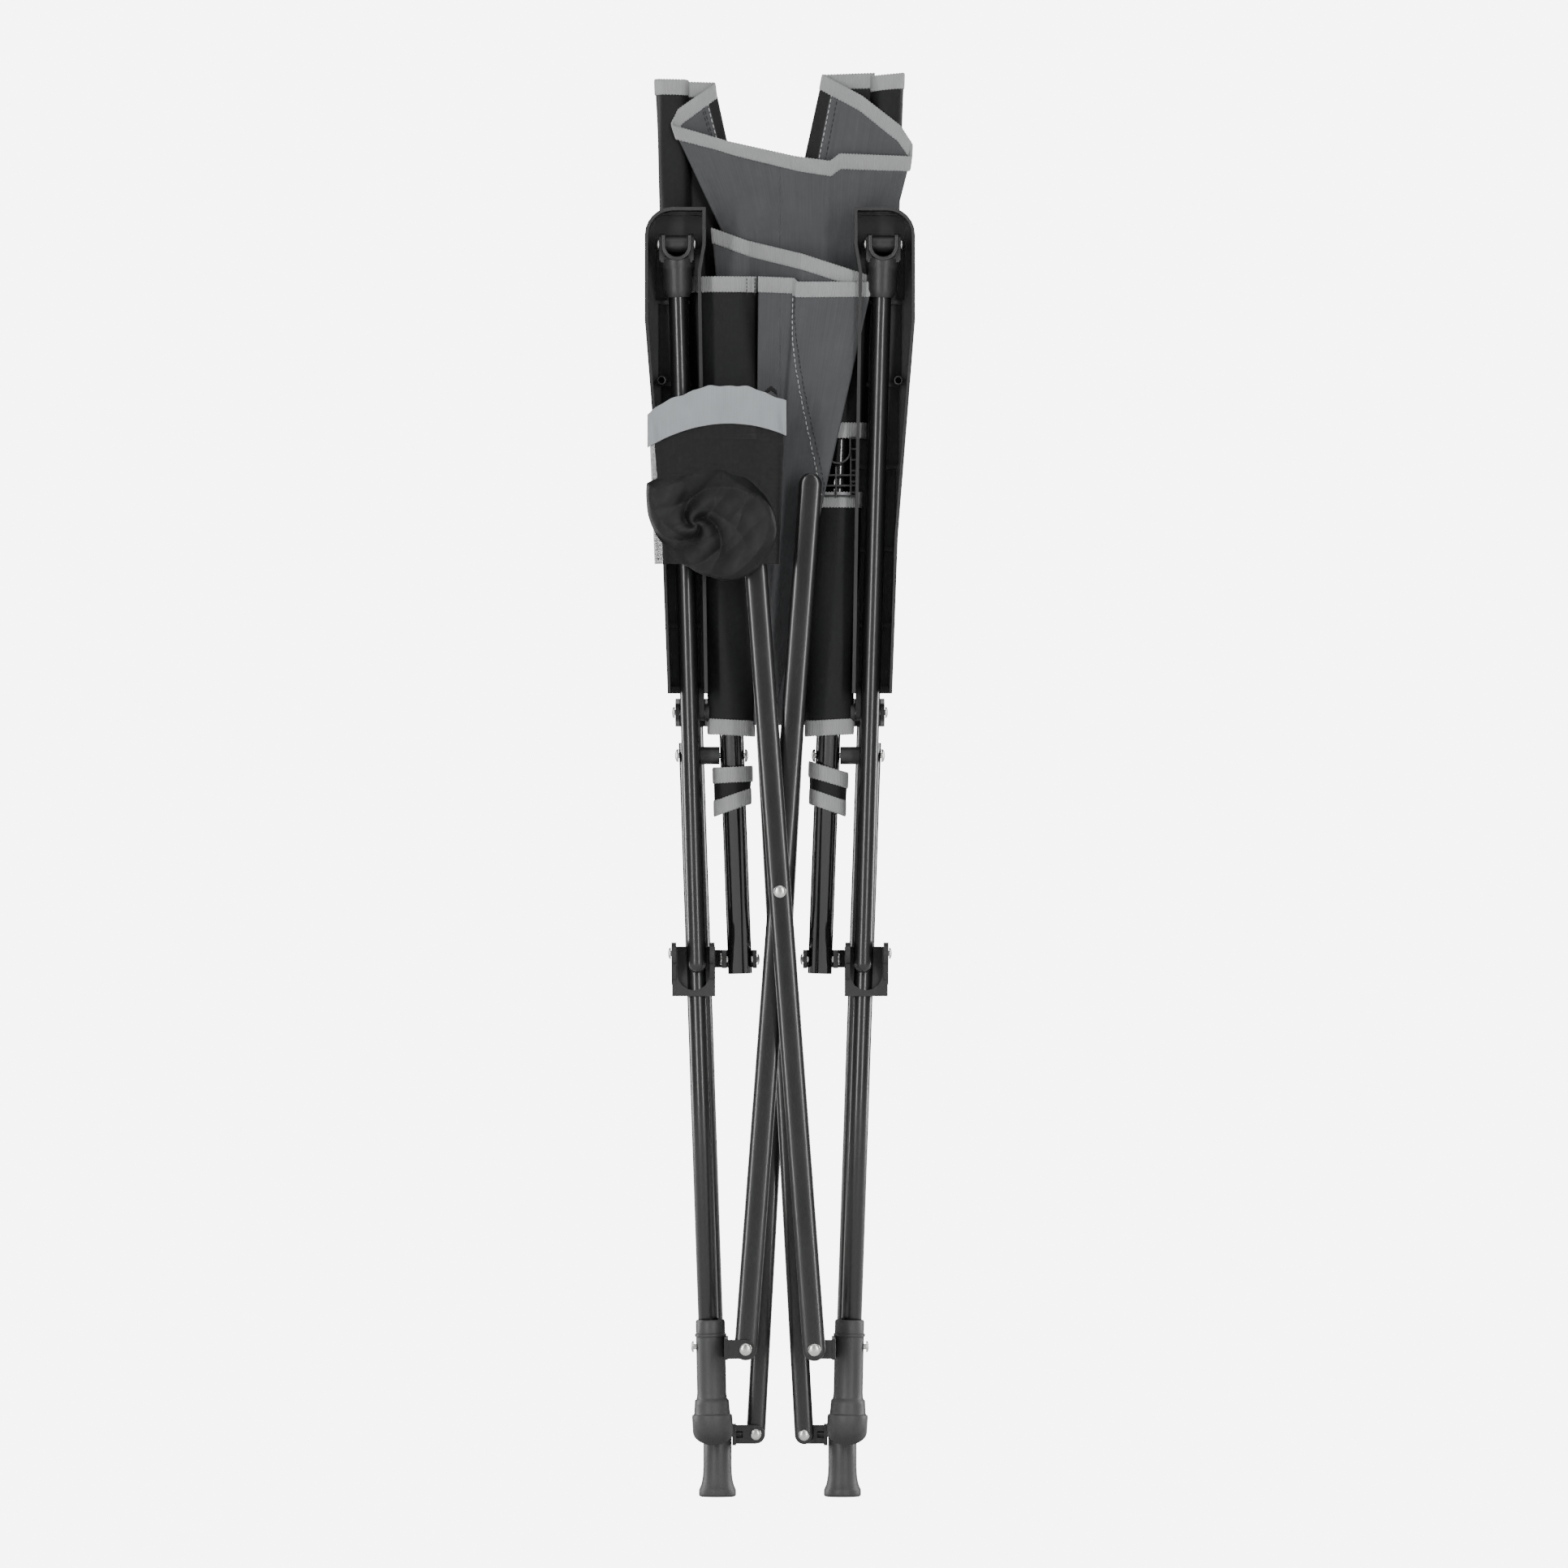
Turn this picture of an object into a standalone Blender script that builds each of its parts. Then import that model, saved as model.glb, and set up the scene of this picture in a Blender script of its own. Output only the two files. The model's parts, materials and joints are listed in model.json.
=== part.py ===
"""Folding camp chair, standing folded on its rear feet.

Metres, +Z up, -Y is the front, and the origin is on the floor.
"""

import math

import bmesh
import bpy
from mathutils import Matrix, Vector

for old in list(bpy.data.objects):
    bpy.data.objects.remove(old, do_unlink=True)

# Heights of the pivots when the chair is folded.
RAIL_PIVOT_Z = 0.426
LEG_PIVOT_Z = 0.587
CLIP_Z = 0.819
ARM_PIVOT_Z = 0.621
KNUCKLE_Z = 0.990
SLIDER_Z = 0.431
FRONT_BRACKET_Z = 0.120
REAR_BRACKET_Z = 0.049
HUB_Z = 0.751
CUP_HOLDER_Z = 0.86

# Tubes: radius, and how far forward or back each one stands from the rails. DEPTH_SHIFT then moves the
# whole chair back, to bring the middle of its box over the origin.
TUBE_RADIUS = 0.008
SUPPORT_RADIUS = 0.0075
RAIL_RADIUS = 0.0095
TUBE_WALL = 0.0014
POST_Y = 0.028
SUPPORT_Y = -0.018
POST_TOP = 1.116
DEPTH_SHIFT = 0.0166
LEG_TOP = 0.597
LEG_TIP = 0.053
RAIL_BOTTOM = 0.415
RAIL_TOP = 0.962
FOOT_TILT = math.radians(31.8)

# Play between neighbours that touch or slide, and the screws and their holes.
GAP = 0.0004
SCREW_RADIUS = 0.0022
HOLE_RADIUS = 0.0027
HOLE_REACH = 0.020
SLEEVE_SIDES = 20

# Scissor bars lie in layers, each pair with its brackets between them, keyed by the side of the bar's foot.
BAR_WIDTH = 0.018
REAR_BAR_WIDTH = 0.015
FRONT_BAR_TOP_Z = 0.800
FRONT_PLATE_Y = (-0.0446, -0.0414)
FRONT_BAR_Y = {1: (-0.0515, -0.0450), -1: (-0.0410, -0.0345)}
REAR_PLATE_Y = (0.0284, 0.0314)
REAR_BAR_Y = {1: (0.0200, 0.0270), -1: (0.0325, 0.0395)}
FRONT_LOW_X = 0.027
FRONT_HIGH_X = 0.024
REAR_LOW_X = 0.0192

SIDES = {"left": -1, "right": 1}


def post_x(z):
    """Distance of the back post from the middle, at height z."""
    return 0.0485 + 0.0334 * z


def leg_x(z):
    return 0.0518 + 0.0339 * z


def support_x(z):
    return 0.0530 + 0.0288 * z


def rail_x(z):
    return 0.0314 + 0.0366 * (z - RAIL_BOTTOM)


def on_post(side, z):
    """The middle of the back post at height z. side is -1 on the left and 1 on the right."""
    return (side * post_x(z), POST_Y, z)


def on_leg(side, z):
    return (side * leg_x(z), 0, z)


def on_support(side, z):
    return (side * support_x(z), SUPPORT_Y, z)


def on_rail(side, z):
    return (side * rail_x(z), 0, z)


MATERIALS = {}


def material(name, colour, roughness, metallic=0.0):
    made = bpy.data.materials.new(name)
    made.use_nodes = True
    shader = made.node_tree.nodes["Principled BSDF"]
    shader.inputs["Base Color"].default_value = (*colour, 1.0)
    shader.inputs["Roughness"].default_value = roughness
    shader.inputs["Metallic"].default_value = metallic
    MATERIALS[name] = made


material("tube_paint", (0.026, 0.026, 0.028), 0.25)
material("rail_paint", (0.010, 0.010, 0.011), 0.15)
material("moulded_plastic", (0.024, 0.024, 0.025), 0.45)
material("foot_plastic", (0.055, 0.055, 0.055), 0.5)
material("zinc_steel", (0.62, 0.62, 0.60), 0.3, 1.0)
material("grey_fabric", (0.14, 0.14, 0.145), 0.9)
material("black_fabric", (0.012, 0.012, 0.012), 0.95)
material("band_fabric", (0.40, 0.42, 0.44), 0.6)


# Bodies: an empty on each joint, and the body it hangs from.
EMPTIES = {}
ROOT_BODY = "back_panel"


def body(name, parent, origin):
    empty = bpy.data.objects.new("body_" + name, None)
    bpy.context.scene.collection.objects.link(empty)
    start = Vector((0, -DEPTH_SHIFT, 0))
    if parent:
        empty.parent = EMPTIES[parent][0]
        start = EMPTIES[parent][1]
    empty.location = Vector(origin) - start
    EMPTIES[name] = (empty, Vector(origin))


def place(name, bm, finish, holder):
    """Makes the node and hangs it on its body's empty. Without a holder it is a hidden helper."""
    bmesh.ops.recalc_face_normals(bm, faces=bm.faces)
    mesh = bpy.data.meshes.new(name)
    bm.to_mesh(mesh)
    bm.free()
    mesh.shade_smooth()
    mesh.set_sharp_from_angle(angle=math.radians(35))
    made = bpy.data.objects.new(name, mesh)
    bpy.context.scene.collection.objects.link(made)
    if holder:
        empty, origin = EMPTIES[holder]
        mesh.transform(Matrix.Translation(-origin))
        made.parent = empty
        mesh.materials.append(MATERIALS[finish])
    else:
        made.parent = EMPTIES[ROOT_BODY][0]
        made.hide_render = True
        made.display_type = "WIRE"
    return made


def turned(start, end, profile, sides=16, ring=False):
    """Turns (radius, distance) points about the line from start towards end.

    A ring's profile is a closed loop.
    """
    bm = bmesh.new()
    start = Vector(start)
    turn = (Vector(end) - start).to_track_quat("Z", "Y")
    rings = []
    for radius, distance in profile:
        count = sides if radius > 0 else 1
        angles = [2 * math.pi * k / sides for k in range(count)]
        points = [Vector((radius * math.cos(a), radius * math.sin(a), distance)) for a in angles]
        rings.append([bm.verts.new(start + turn @ point) for point in points])
    pairs = list(zip(rings, rings[1:]))
    if ring:
        pairs.append((rings[-1], rings[0]))
    for low, high in pairs:
        for k in range(sides):
            after = (k + 1) % sides
            if len(low) == 1:
                bm.faces.new((low[0], high[k], high[after]))
            elif len(high) == 1:
                bm.faces.new((low[k], low[after], high[0]))
            else:
                bm.faces.new((low[k], low[after], high[after], high[k]))
    return bm


def length_between(start, end):
    return (Vector(end) - Vector(start)).length


def rod(start, end, radius, sides=16):
    """A solid round bar."""
    reach = length_between(start, end)
    return turned(start, end, [(0, 0), (radius, 0), (radius, reach), (0, reach)], sides)


def pipe(start, end, radius):
    """A round tube, open at both ends."""
    reach = length_between(start, end)
    inner = radius - TUBE_WALL
    return turned(start, end, [(radius, 0), (radius, reach), (inner, reach), (inner, 0)], ring=True)


def sleeve(start, end, inner, outer):
    reach = length_between(start, end)
    profile = [(outer, 0), (outer, reach), (inner, reach), (inner, 0)]
    return turned(start, end, profile, SLEEVE_SIDES, ring=True)


def domed(start, end, head_radius, head, sides=12):
    """A bolt or rivet: a shank from start to end, and a low dome outside each end."""
    reach = length_between(start, end)
    curve = [(math.sin(a), 1 - math.cos(a)) for a in (math.radians(40), math.radians(75))]
    low = [(0, -head)] + [(head_radius * s, -head + head * 0.8 * c) for s, c in curve]
    low += [(head_radius, -head * 0.25), (head_radius, 0), (SCREW_RADIUS, 0)]
    high = [(r, reach - d) for r, d in reversed(low)]
    return turned(start, end, low + high, sides)


def headed(start, end, head_radius=0.0045, head=0.0022, sides=12):
    """A screw with its shank from start to end and one dome, outside start."""
    reach = length_between(start, end)
    profile = [(0, -head), (head_radius * 0.66, -head * 0.8), (head_radius, -head * 0.25), (head_radius, 0)]
    profile += [(SCREW_RADIUS, 0), (SCREW_RADIUS, reach), (0, reach)]
    return turned(start, end, profile, sides)


def prism(outline, axis, low, high):
    """Carries a closed outline along X or Y. Outline points are (y, z) for X and (x, z) for Y."""
    bm = bmesh.new()
    if axis == "X":
        points = [Vector((low, a, b)) for a, b in outline]
        step = Vector((high - low, 0, 0))
    else:
        points = [Vector((a, low, b)) for a, b in outline]
        step = Vector((0, high - low, 0))
    base = bm.faces.new([bm.verts.new(point) for point in points])
    carried = bmesh.ops.extrude_face_region(bm, geom=[base])
    moved = [item for item in carried["geom"] if isinstance(item, bmesh.types.BMVert)]
    bmesh.ops.translate(bm, verts=moved, vec=step)
    return bm


def box(low, high):
    outline = [(low[0], low[2]), (high[0], low[2]), (high[0], high[2]), (low[0], high[2])]
    return prism(outline, "Y", low[1], high[1])


def arc(centre, radius, start, end, count):
    """Points on a circle from angle start to end, in degrees."""
    angles = [math.radians(start + (end - start) * k / count) for k in range(count + 1)]
    return [(centre[0] + radius * math.cos(a), centre[1] + radius * math.sin(a)) for a in angles]


def boolean(target, bm, operation):
    helper = place(f"{target.name}_{operation.lower()}_{len(target.modifiers)}", bm, None, None)
    cut = target.modifiers.new(operation.lower(), "BOOLEAN")
    cut.operation = operation
    cut.solver = "EXACT"
    cut.object = helper


def cut(target, *shapes):
    for shape in shapes:
        boolean(target, shape, "DIFFERENCE")


def add(target, *shapes):
    for shape in shapes:
        boolean(target, shape, "UNION")


def bevel(target, width):
    made = target.modifiers.new("edges", "BEVEL")
    made.width = width
    made.segments = 2
    made.limit_method = "ANGLE"
    made.angle_limit = math.radians(50)


def mirrored(side, points):
    """Turns (distance from the middle, height) points to one side of the chair."""
    return [(side * x, z) for x, z in points]


def span(side, near, far, y, z):
    """The ends of a line across the chair on one side, at y and z."""
    return (side * near, y, z), (side * far, y, z)


def cross_hole(side, x, y, z):
    """A cutter for a screw hole that runs across the chair, through the point at x, y, z."""
    return rod(*span(side, x - HOLE_REACH, x + HOLE_REACH, y, z), HOLE_RADIUS, 12)


# ---------------------------------------------------------------- bodies
body("back_panel", None, (0, 0, 0))
body("seat_panel", "back_panel", (0, 0, RAIL_PIVOT_Z))
for word, side in SIDES.items():
    body(f"{word}_rail", "seat_panel", (side * rail_x(RAIL_PIVOT_Z), 0, RAIL_PIVOT_Z))
    body(f"{word}_front_leg", f"{word}_rail", on_leg(side, LEG_PIVOT_Z))
    body(f"{word}_slider", f"{word}_front_leg", on_leg(side, SLIDER_Z))
    body(f"{word}_front_bracket", f"{word}_front_leg", on_leg(side, FRONT_BRACKET_Z))
    pivot_y = sum(FRONT_BAR_Y[side]) / 2
    body(f"{word}_front_bar", f"{word}_front_bracket", (side * FRONT_LOW_X, pivot_y, FRONT_BRACKET_Z))
    body(f"{word}_post", "back_panel", on_post(side, 0))
    body(f"{word}_arm", f"{word}_post", (side * post_x(ARM_PIVOT_Z), 0, ARM_PIVOT_Z))
    body(f"{word}_support", f"{word}_arm", on_support(side, KNUCKLE_Z))
    pivot_y = sum(REAR_BAR_Y[side]) / 2
    body(f"{word}_rear_bar", f"{word}_post", (side * REAR_LOW_X, pivot_y, REAR_BRACKET_Z))
    body(f"{word}_hub", f"{word}_post", on_post(side, HUB_Z))
body("cup_holder", "left_support", on_support(-1, CUP_HOLDER_Z))


# ---------------------------------------------------------------- back posts and rear feet
SOLE_RADIUS = 0.0148
SOLE_EDGE = 0.001
SOLE_HEIGHT = 0.005
SOLE_SHOULDER = 0.014
SLEEVE_RADIUS = 0.0112
REAR_SLEEVE_TOP = 0.060
POST_BOTTOM = 0.006
SCREW_STANDS_OUT = 0.0122
REAR_SCREW_REACH = 0.0150


def back_post(word, side):
    carried = f"{word}_post"
    tube = pipe(on_post(side, POST_BOTTOM), on_post(side, POST_TOP), TUBE_RADIUS)
    post = place(f"{word}_back_post", tube, "tube_paint", carried)

    foot_x = side * post_x(REAR_SLEEVE_TOP / 2)
    profile = [(0, 0), (SOLE_RADIUS - SOLE_EDGE, 0), (SOLE_RADIUS, SOLE_EDGE), (SOLE_RADIUS, SOLE_HEIGHT)]
    profile += [(SLEEVE_RADIUS + GAP, SOLE_SHOULDER), (SLEEVE_RADIUS, REAR_SLEEVE_TOP), (0, REAR_SLEEVE_TOP)]
    shape = turned((foot_x, POST_Y, 0), (foot_x, POST_Y, 1), profile, SLEEVE_SIDES)
    foot = place(f"{word}_rear_foot", shape, "foot_plastic", carried)
    cut(foot, rod(on_post(side, POST_BOTTOM - GAP), on_post(side, REAR_SLEEVE_TOP + 0.02), TUBE_RADIUS + GAP))

    x = post_x(REAR_BRACKET_Z)
    for target in (foot, post):
        cut(target, cross_hole(side, x, POST_Y, REAR_BRACKET_Z))
    ends = span(side, x + SCREW_STANDS_OUT, x - REAR_SCREW_REACH, POST_Y, REAR_BRACKET_Z)
    place(f"{word}_rear_foot_screw", headed(*ends), "zinc_steel", carried)


# ---------------------------------------------------------------- front legs and their feet
FRONT_LEG_BOTTOM = 0.066
FRONT_FOOT_BOTTOM = 0.030
FRONT_SLEEVE_LENGTH = 0.111
FRONT_SLEEVE_RADIUS = 0.0116
FRONT_SCREW_REACH = 0.0165

# The bell's outside, as (radius, distance up the leg from the foot's bottom).
BELL = [(0.0160, 0.0), (0.0160, 0.036), (0.0142, 0.040), (0.0134, 0.048), (FRONT_SLEEVE_RADIUS, 0.054)]


def front_leg(word, side):
    carried = f"{word}_front_leg"
    tube = pipe(on_leg(side, FRONT_LEG_BOTTOM), on_leg(side, LEG_TOP), TUBE_RADIUS)
    leg = place(f"{word}_front_leg", tube, "tube_paint", carried)
    cut(leg, cross_hole(side, leg_x(LEG_PIVOT_Z), 0, LEG_PIVOT_Z))

    # The bell foot is cut off square to the floor that it stands on when the leg is swung forward.
    low, high = Vector(on_leg(side, FRONT_FOOT_BOTTOM)), Vector(on_leg(side, 1.0))
    profile = [(0, 0), *BELL, (FRONT_SLEEVE_RADIUS, FRONT_SLEEVE_LENGTH), (0, FRONT_SLEEVE_LENGTH)]
    shape = turned(low, high, profile, SLEEVE_SIDES)
    foot = place(f"{word}_front_foot", shape, "foot_plastic", carried)
    ground = box((-0.05, -0.05, -0.06), (0.05, 0.05, 0.0))
    tilt = Matrix.Translation(on_leg(side, LEG_TIP)) @ Matrix.Rotation(FOOT_TILT, 4, "X")
    bmesh.ops.transform(ground, matrix=tilt, verts=ground.verts)
    socket = rod(on_leg(side, FRONT_LEG_BOTTOM - GAP), on_leg(side, 0.160), TUBE_RADIUS + GAP)
    cut(foot, ground, socket)

    x = leg_x(FRONT_BRACKET_Z)
    for target in (foot, leg):
        cut(target, cross_hole(side, x, 0, FRONT_BRACKET_Z))
    ends = span(side, x + SCREW_STANDS_OUT, x - FRONT_SCREW_REACH, 0, FRONT_BRACKET_Z)
    place(f"{word}_front_foot_screw", domed(*ends, 0.0045, 0.0022), "zinc_steel", carried)


# ---------------------------------------------------------------- seat rails, pivot bolts, clips and clevises
SPACER_RADIUS = 0.007
LEG_BOLT_HEAD = (0.0052, 0.0028)
CLIP_BOTTOM = CLIP_Z - 0.028
CLIP_TOP = CLIP_Z + 0.018
CLIP_WALL = 0.0024
CLIP_RIBS_Z = (0.797, 0.806, 0.815)
CLEVIS_LOW = RAIL_PIVOT_Z - 0.007
CLEVIS_HIGH = RAIL_PIVOT_Z + 0.007
EAR_GAP = 0.0105
EAR_OUTER = 0.0140
EAR_INNER = 0.0135


def seat_rail(word, side):
    carried = f"{word}_rail"
    tube = pipe(on_rail(side, RAIL_BOTTOM), on_rail(side, RAIL_TOP), RAIL_RADIUS)
    rail = place(f"{word}_seat_rail", tube, "rail_paint", carried)
    for z in (RAIL_PIVOT_Z, LEG_PIVOT_Z):
        cut(rail, cross_hole(side, rail_x(z), 0, z))
    leg_x_here, rail_x_here = leg_x(LEG_PIVOT_Z), rail_x(LEG_PIVOT_Z)
    ends = span(side, leg_x_here + TUBE_RADIUS + GAP, rail_x_here - RAIL_RADIUS - GAP, 0, LEG_PIVOT_Z)
    place(f"{word}_leg_pivot_bolt", domed(*ends, *LEG_BOLT_HEAD), "zinc_steel", carried)
    ends = span(side, rail_x_here + RAIL_RADIUS + GAP, leg_x_here - TUBE_RADIUS - GAP, 0, LEG_PIVOT_Z)
    place(f"{word}_leg_spacer", sleeve(*ends, HOLE_RADIUS, SPACER_RADIUS), "moulded_plastic", carried)


def rail_clip(word, side):
    """A ribbed half shell that hugs the front of the rail."""
    inner = RAIL_RADIUS + GAP
    shell = sleeve(on_rail(side, CLIP_BOTTOM), on_rail(side, CLIP_TOP), inner, inner + CLIP_WALL)
    clip = place(f"{word}_rail_clip", shell, "moulded_plastic", f"{word}_rail")
    for z in CLIP_RIBS_Z:
        ends = on_rail(side, z), on_rail(side, z + CLIP_WALL)
        add(clip, sleeve(*ends, inner + 0.0008, inner + CLIP_WALL + 0.0009))
    x = side * rail_x(CLIP_Z)
    cut(clip, box((x - 0.02, 0.002, CLIP_Z - 0.04), (x + 0.02, 0.02, CLIP_Z + 0.04)))


def rail_clevis(word, side):
    """A strap behind the post and the rail, with an ear on each side of the rail."""
    low, high = CLEVIS_LOW, CLEVIS_HIGH
    x, post = rail_x(RAIL_PIVOT_Z), post_x(RAIL_PIVOT_Z)
    strap_front, strap_back = REAR_PLATE_Y
    carried = f"{word}_post"
    near, far = sorted((side * (x - EAR_INNER), side * (post - TUBE_RADIUS - 0.0015)))
    strap = box((near, strap_front, low), (far, strap_back, high))
    clevis = place(f"{word}_rail_clevis", strap, "moulded_plastic", carried)
    add(clevis, sleeve(on_post(side, low), on_post(side, high), TUBE_RADIUS + GAP, 0.0108))
    open_x = side * post
    cut(clevis, box((open_x - 0.02, 0, low - 0.005), (open_x + 0.02, POST_Y - 0.0035, high + 0.005)))
    for ear in ((x + EAR_GAP, x + EAR_OUTER), (x - EAR_INNER, x - EAR_GAP)):
        near, far = sorted((side * ear[0], side * ear[1]))
        add(clevis, box((near, -0.0065, low), (far, strap_front + 0.001, high)))
    cut(clevis, cross_hole(side, x, 0, RAIL_PIVOT_Z))
    ends = span(side, x + EAR_OUTER + GAP, x - EAR_INNER - GAP, 0, RAIL_PIVOT_Z)
    place(f"{word}_rail_pivot_bolt", domed(*ends, 0.0045, 0.0020), "zinc_steel", carried)


# ---------------------------------------------------------------- arm supports, knuckles and leg sliders
SUPPORT_BOTTOM = 0.4155
SUPPORT_TOP = 0.968
COLLAR_BOTTOM = 0.948
COLLAR_TOP = 0.978
PRONG_INNER = 0.0092
PRONG_OUTER = 0.0135
PRONG_RADIUS = 0.008
SLIDER_BOTTOM = 0.397
SLIDER_TOP = 0.436
SLIDER_HALF = 0.0170
FORK_INNER = 0.0132
FORK_SHIFT = 0.0022
RECESS_RADIUS = 0.0128
RECESS_Z = 0.4145


def arm_support(word, side):
    carried = f"{word}_support"
    low, high = on_support(side, SUPPORT_BOTTOM), on_support(side, SUPPORT_TOP)
    reach = length_between(low, high)
    r = SUPPORT_RADIUS
    outside = [(0, 0), (r * 0.6, 0.0012), (r * 0.92, 0.0042), (r, 0.0075), (r, reach)]
    inside = [(r - TUBE_WALL, reach), (r - TUBE_WALL, 0.010), (0, 0.010)]
    place(f"{word}_arm_support", turned(low, high, outside + inside), "tube_paint", carried)

    low, high = on_support(side, COLLAR_BOTTOM), on_support(side, COLLAR_TOP)
    collar = length_between(low, high)
    profile = [(0, 0), (0.0090, 0), (0.0115, 0.006), (0.0118, 0.022)]
    profile += [(0.0132, 0.024), (0.0132, collar), (0, collar)]
    shape = turned(low, high, profile, SLEEVE_SIDES)
    knuckle = place(f"{word}_arm_knuckle", shape, "moulded_plastic", carried)
    x = support_x(KNUCKLE_Z)
    front, back = SUPPORT_Y - PRONG_RADIUS, SUPPORT_Y + PRONG_RADIUS
    prong = [(front, 0.977), (back, 0.977)] + arc((SUPPORT_Y, KNUCKLE_Z), PRONG_RADIUS, 0, 180, 8)
    for near, far in ((-PRONG_OUTER, -PRONG_INNER), (PRONG_INNER, PRONG_OUTER)):
        add(knuckle, prism(prong, "X", side * x + near, side * x + far))
    add(knuckle, box((side * x - 0.0125, front, 0.9755), (side * x + 0.0125, back, 0.9795)))
    cut(knuckle, rod(on_support(side, 0.940), on_support(side, 0.9685), r + GAP))
    cut(knuckle, cross_hole(side, x, SUPPORT_Y, KNUCKLE_Z))
    ends = span(side, x + PRONG_OUTER + GAP, x - PRONG_OUTER - GAP, SUPPORT_Y, KNUCKLE_Z)
    place(f"{word}_knuckle_bolt", domed(*ends, 0.0045, 0.0022), "zinc_steel", carried)


def leg_slider(word, side):
    """A block that runs on the front leg, with a fork in front for the foot of the arm support."""
    carried = f"{word}_slider"
    x = side * (leg_x((SLIDER_BOTTOM + SLIDER_TOP) / 2) + FORK_SHIFT)
    block = box((x - SLIDER_HALF, -0.0094, SLIDER_BOTTOM), (x + SLIDER_HALF, 0.0092, SLIDER_TOP))
    slider = place(f"{word}_leg_slider", block, "moulded_plastic", carried)
    ear = [(-0.005, 0.406), (-0.005, 0.4395)] + arc((SUPPORT_Y, SLIDER_Z), 0.0085, 90, 270, 8)
    ear += [(-0.012, 0.412)]
    centre = leg_x(SLIDER_Z) + FORK_SHIFT
    for near, far in ((-SLIDER_HALF, -FORK_INNER), (FORK_INNER, SLIDER_HALF)):
        add(slider, prism(ear, "X", side * centre + near, side * centre + far))
    recess = arc((x, RECESS_Z), RECESS_RADIUS, 180, 360, 8)
    recess += [(x + RECESS_RADIUS, 0.450), (x - RECESS_RADIUS, 0.450)]
    outer_in, outer_out = centre + FORK_INNER, centre + SLIDER_HALF
    screw_hole = rod(*span(side, outer_in - 0.004, outer_out + 0.004, SUPPORT_Y, SLIDER_Z), HOLE_RADIUS, 12)
    bore = rod(on_leg(side, 0.380), on_leg(side, 0.460), TUBE_RADIUS + GAP)
    cut(slider, bore, prism(recess, "Y", -0.020, -0.0040), screw_hole)
    ends = span(side, outer_out + GAP, outer_in, SUPPORT_Y, SLIDER_Z)
    place(f"{word}_slider_screw", headed(*ends), "zinc_steel", carried)


# ---------------------------------------------------------------- armrests and their hinges
ARM_FRONT = -0.028
ARM_BACK = 0.0045
ARM_BOTTOM = 0.636
ARM_TOP = 1.019
ARM_WALL = 0.0026
ARM_CORNER = 0.022
ARM_OUTER_X = 0.1065
ARM_RIBS_Z = (0.640, 0.690, 0.750, 0.815, 0.880, 0.945, 1.015)
HAND_Z = 0.960
HUB_HALF = 0.0088
HINGE_LOW, HINGE_HIGH = 0.610, 0.632
HINGE_INNER, HINGE_OUTER = 0.0100, 0.0135


def arm_outline(inset, bottom):
    """Half of a shoe-like outline, (distance from the middle, height): slim at the hinge, wide above."""
    corner = ARM_CORNER - inset
    outer = ARM_OUTER_X - inset
    top = ARM_TOP - inset
    points = [(0.0568 + inset, bottom), (0.0622 + inset, 0.968)]
    points += [(0.0585 + inset, 0.990), (0.0585 + inset, top)]
    points += reversed(arc((outer - corner, top - corner), corner, 0, 90, 6))
    points += [(outer, 0.930), (0.0930 - inset, 0.760), (0.0885 - inset, bottom)]
    return points


def armrest(word, side):
    """A channel open to the front, its floor thinned between ribs, with a hub and a neck for its pivots."""
    outside = mirrored(side, arm_outline(0, ARM_BOTTOM))
    arm = place(f"{word}_armrest", prism(outside, "Y", ARM_FRONT, ARM_BACK), "moulded_plastic", f"{word}_arm")
    inside = mirrored(side, arm_outline(ARM_WALL, ARM_BOTTOM - 0.01))
    cut(arm, prism(inside, "Y", ARM_FRONT - 0.01, -0.0035))
    for low, high in zip(ARM_RIBS_Z, ARM_RIBS_Z[1:]):
        middle = (low + high) / 2
        near = 0.0625 if middle < HAND_Z else 0.0600
        far = 0.0865 + 0.035 * (middle - ARM_RIBS_Z[0])
        start, end = sorted((side * near, side * far))
        cut(arm, box((start, -0.010, low + 0.0015), (end, 0.0016, high - 0.0015)))

    x = support_x(KNUCKLE_Z)
    hub = rod(*span(side, x - HUB_HALF, x + HUB_HALF, SUPPORT_Y, KNUCKLE_Z), 0.0070)
    stalk_low = (side * x - HUB_HALF + 0.0002, SUPPORT_Y + 0.001, KNUCKLE_Z - 0.0055)
    stalk_high = (side * x + HUB_HALF - 0.0002, 0.003, KNUCKLE_Z + 0.0055)
    add(arm, hub, box(stalk_low, stalk_high))
    cut(arm, cross_hole(side, x, SUPPORT_Y, KNUCKLE_Z))

    x = post_x(ARM_PIVOT_Z)
    neck = [(-0.0065, ARM_PIVOT_Z), (-0.0065, 0.640), (0.0030, 0.640)]
    neck += arc((0, ARM_PIVOT_Z), 0.0065, 0, -180, 8)
    add(arm, prism(neck, "X", side * x - 0.0095, side * x + 0.0095))
    cut(arm, cross_hole(side, x, 0, ARM_PIVOT_Z))


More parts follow.
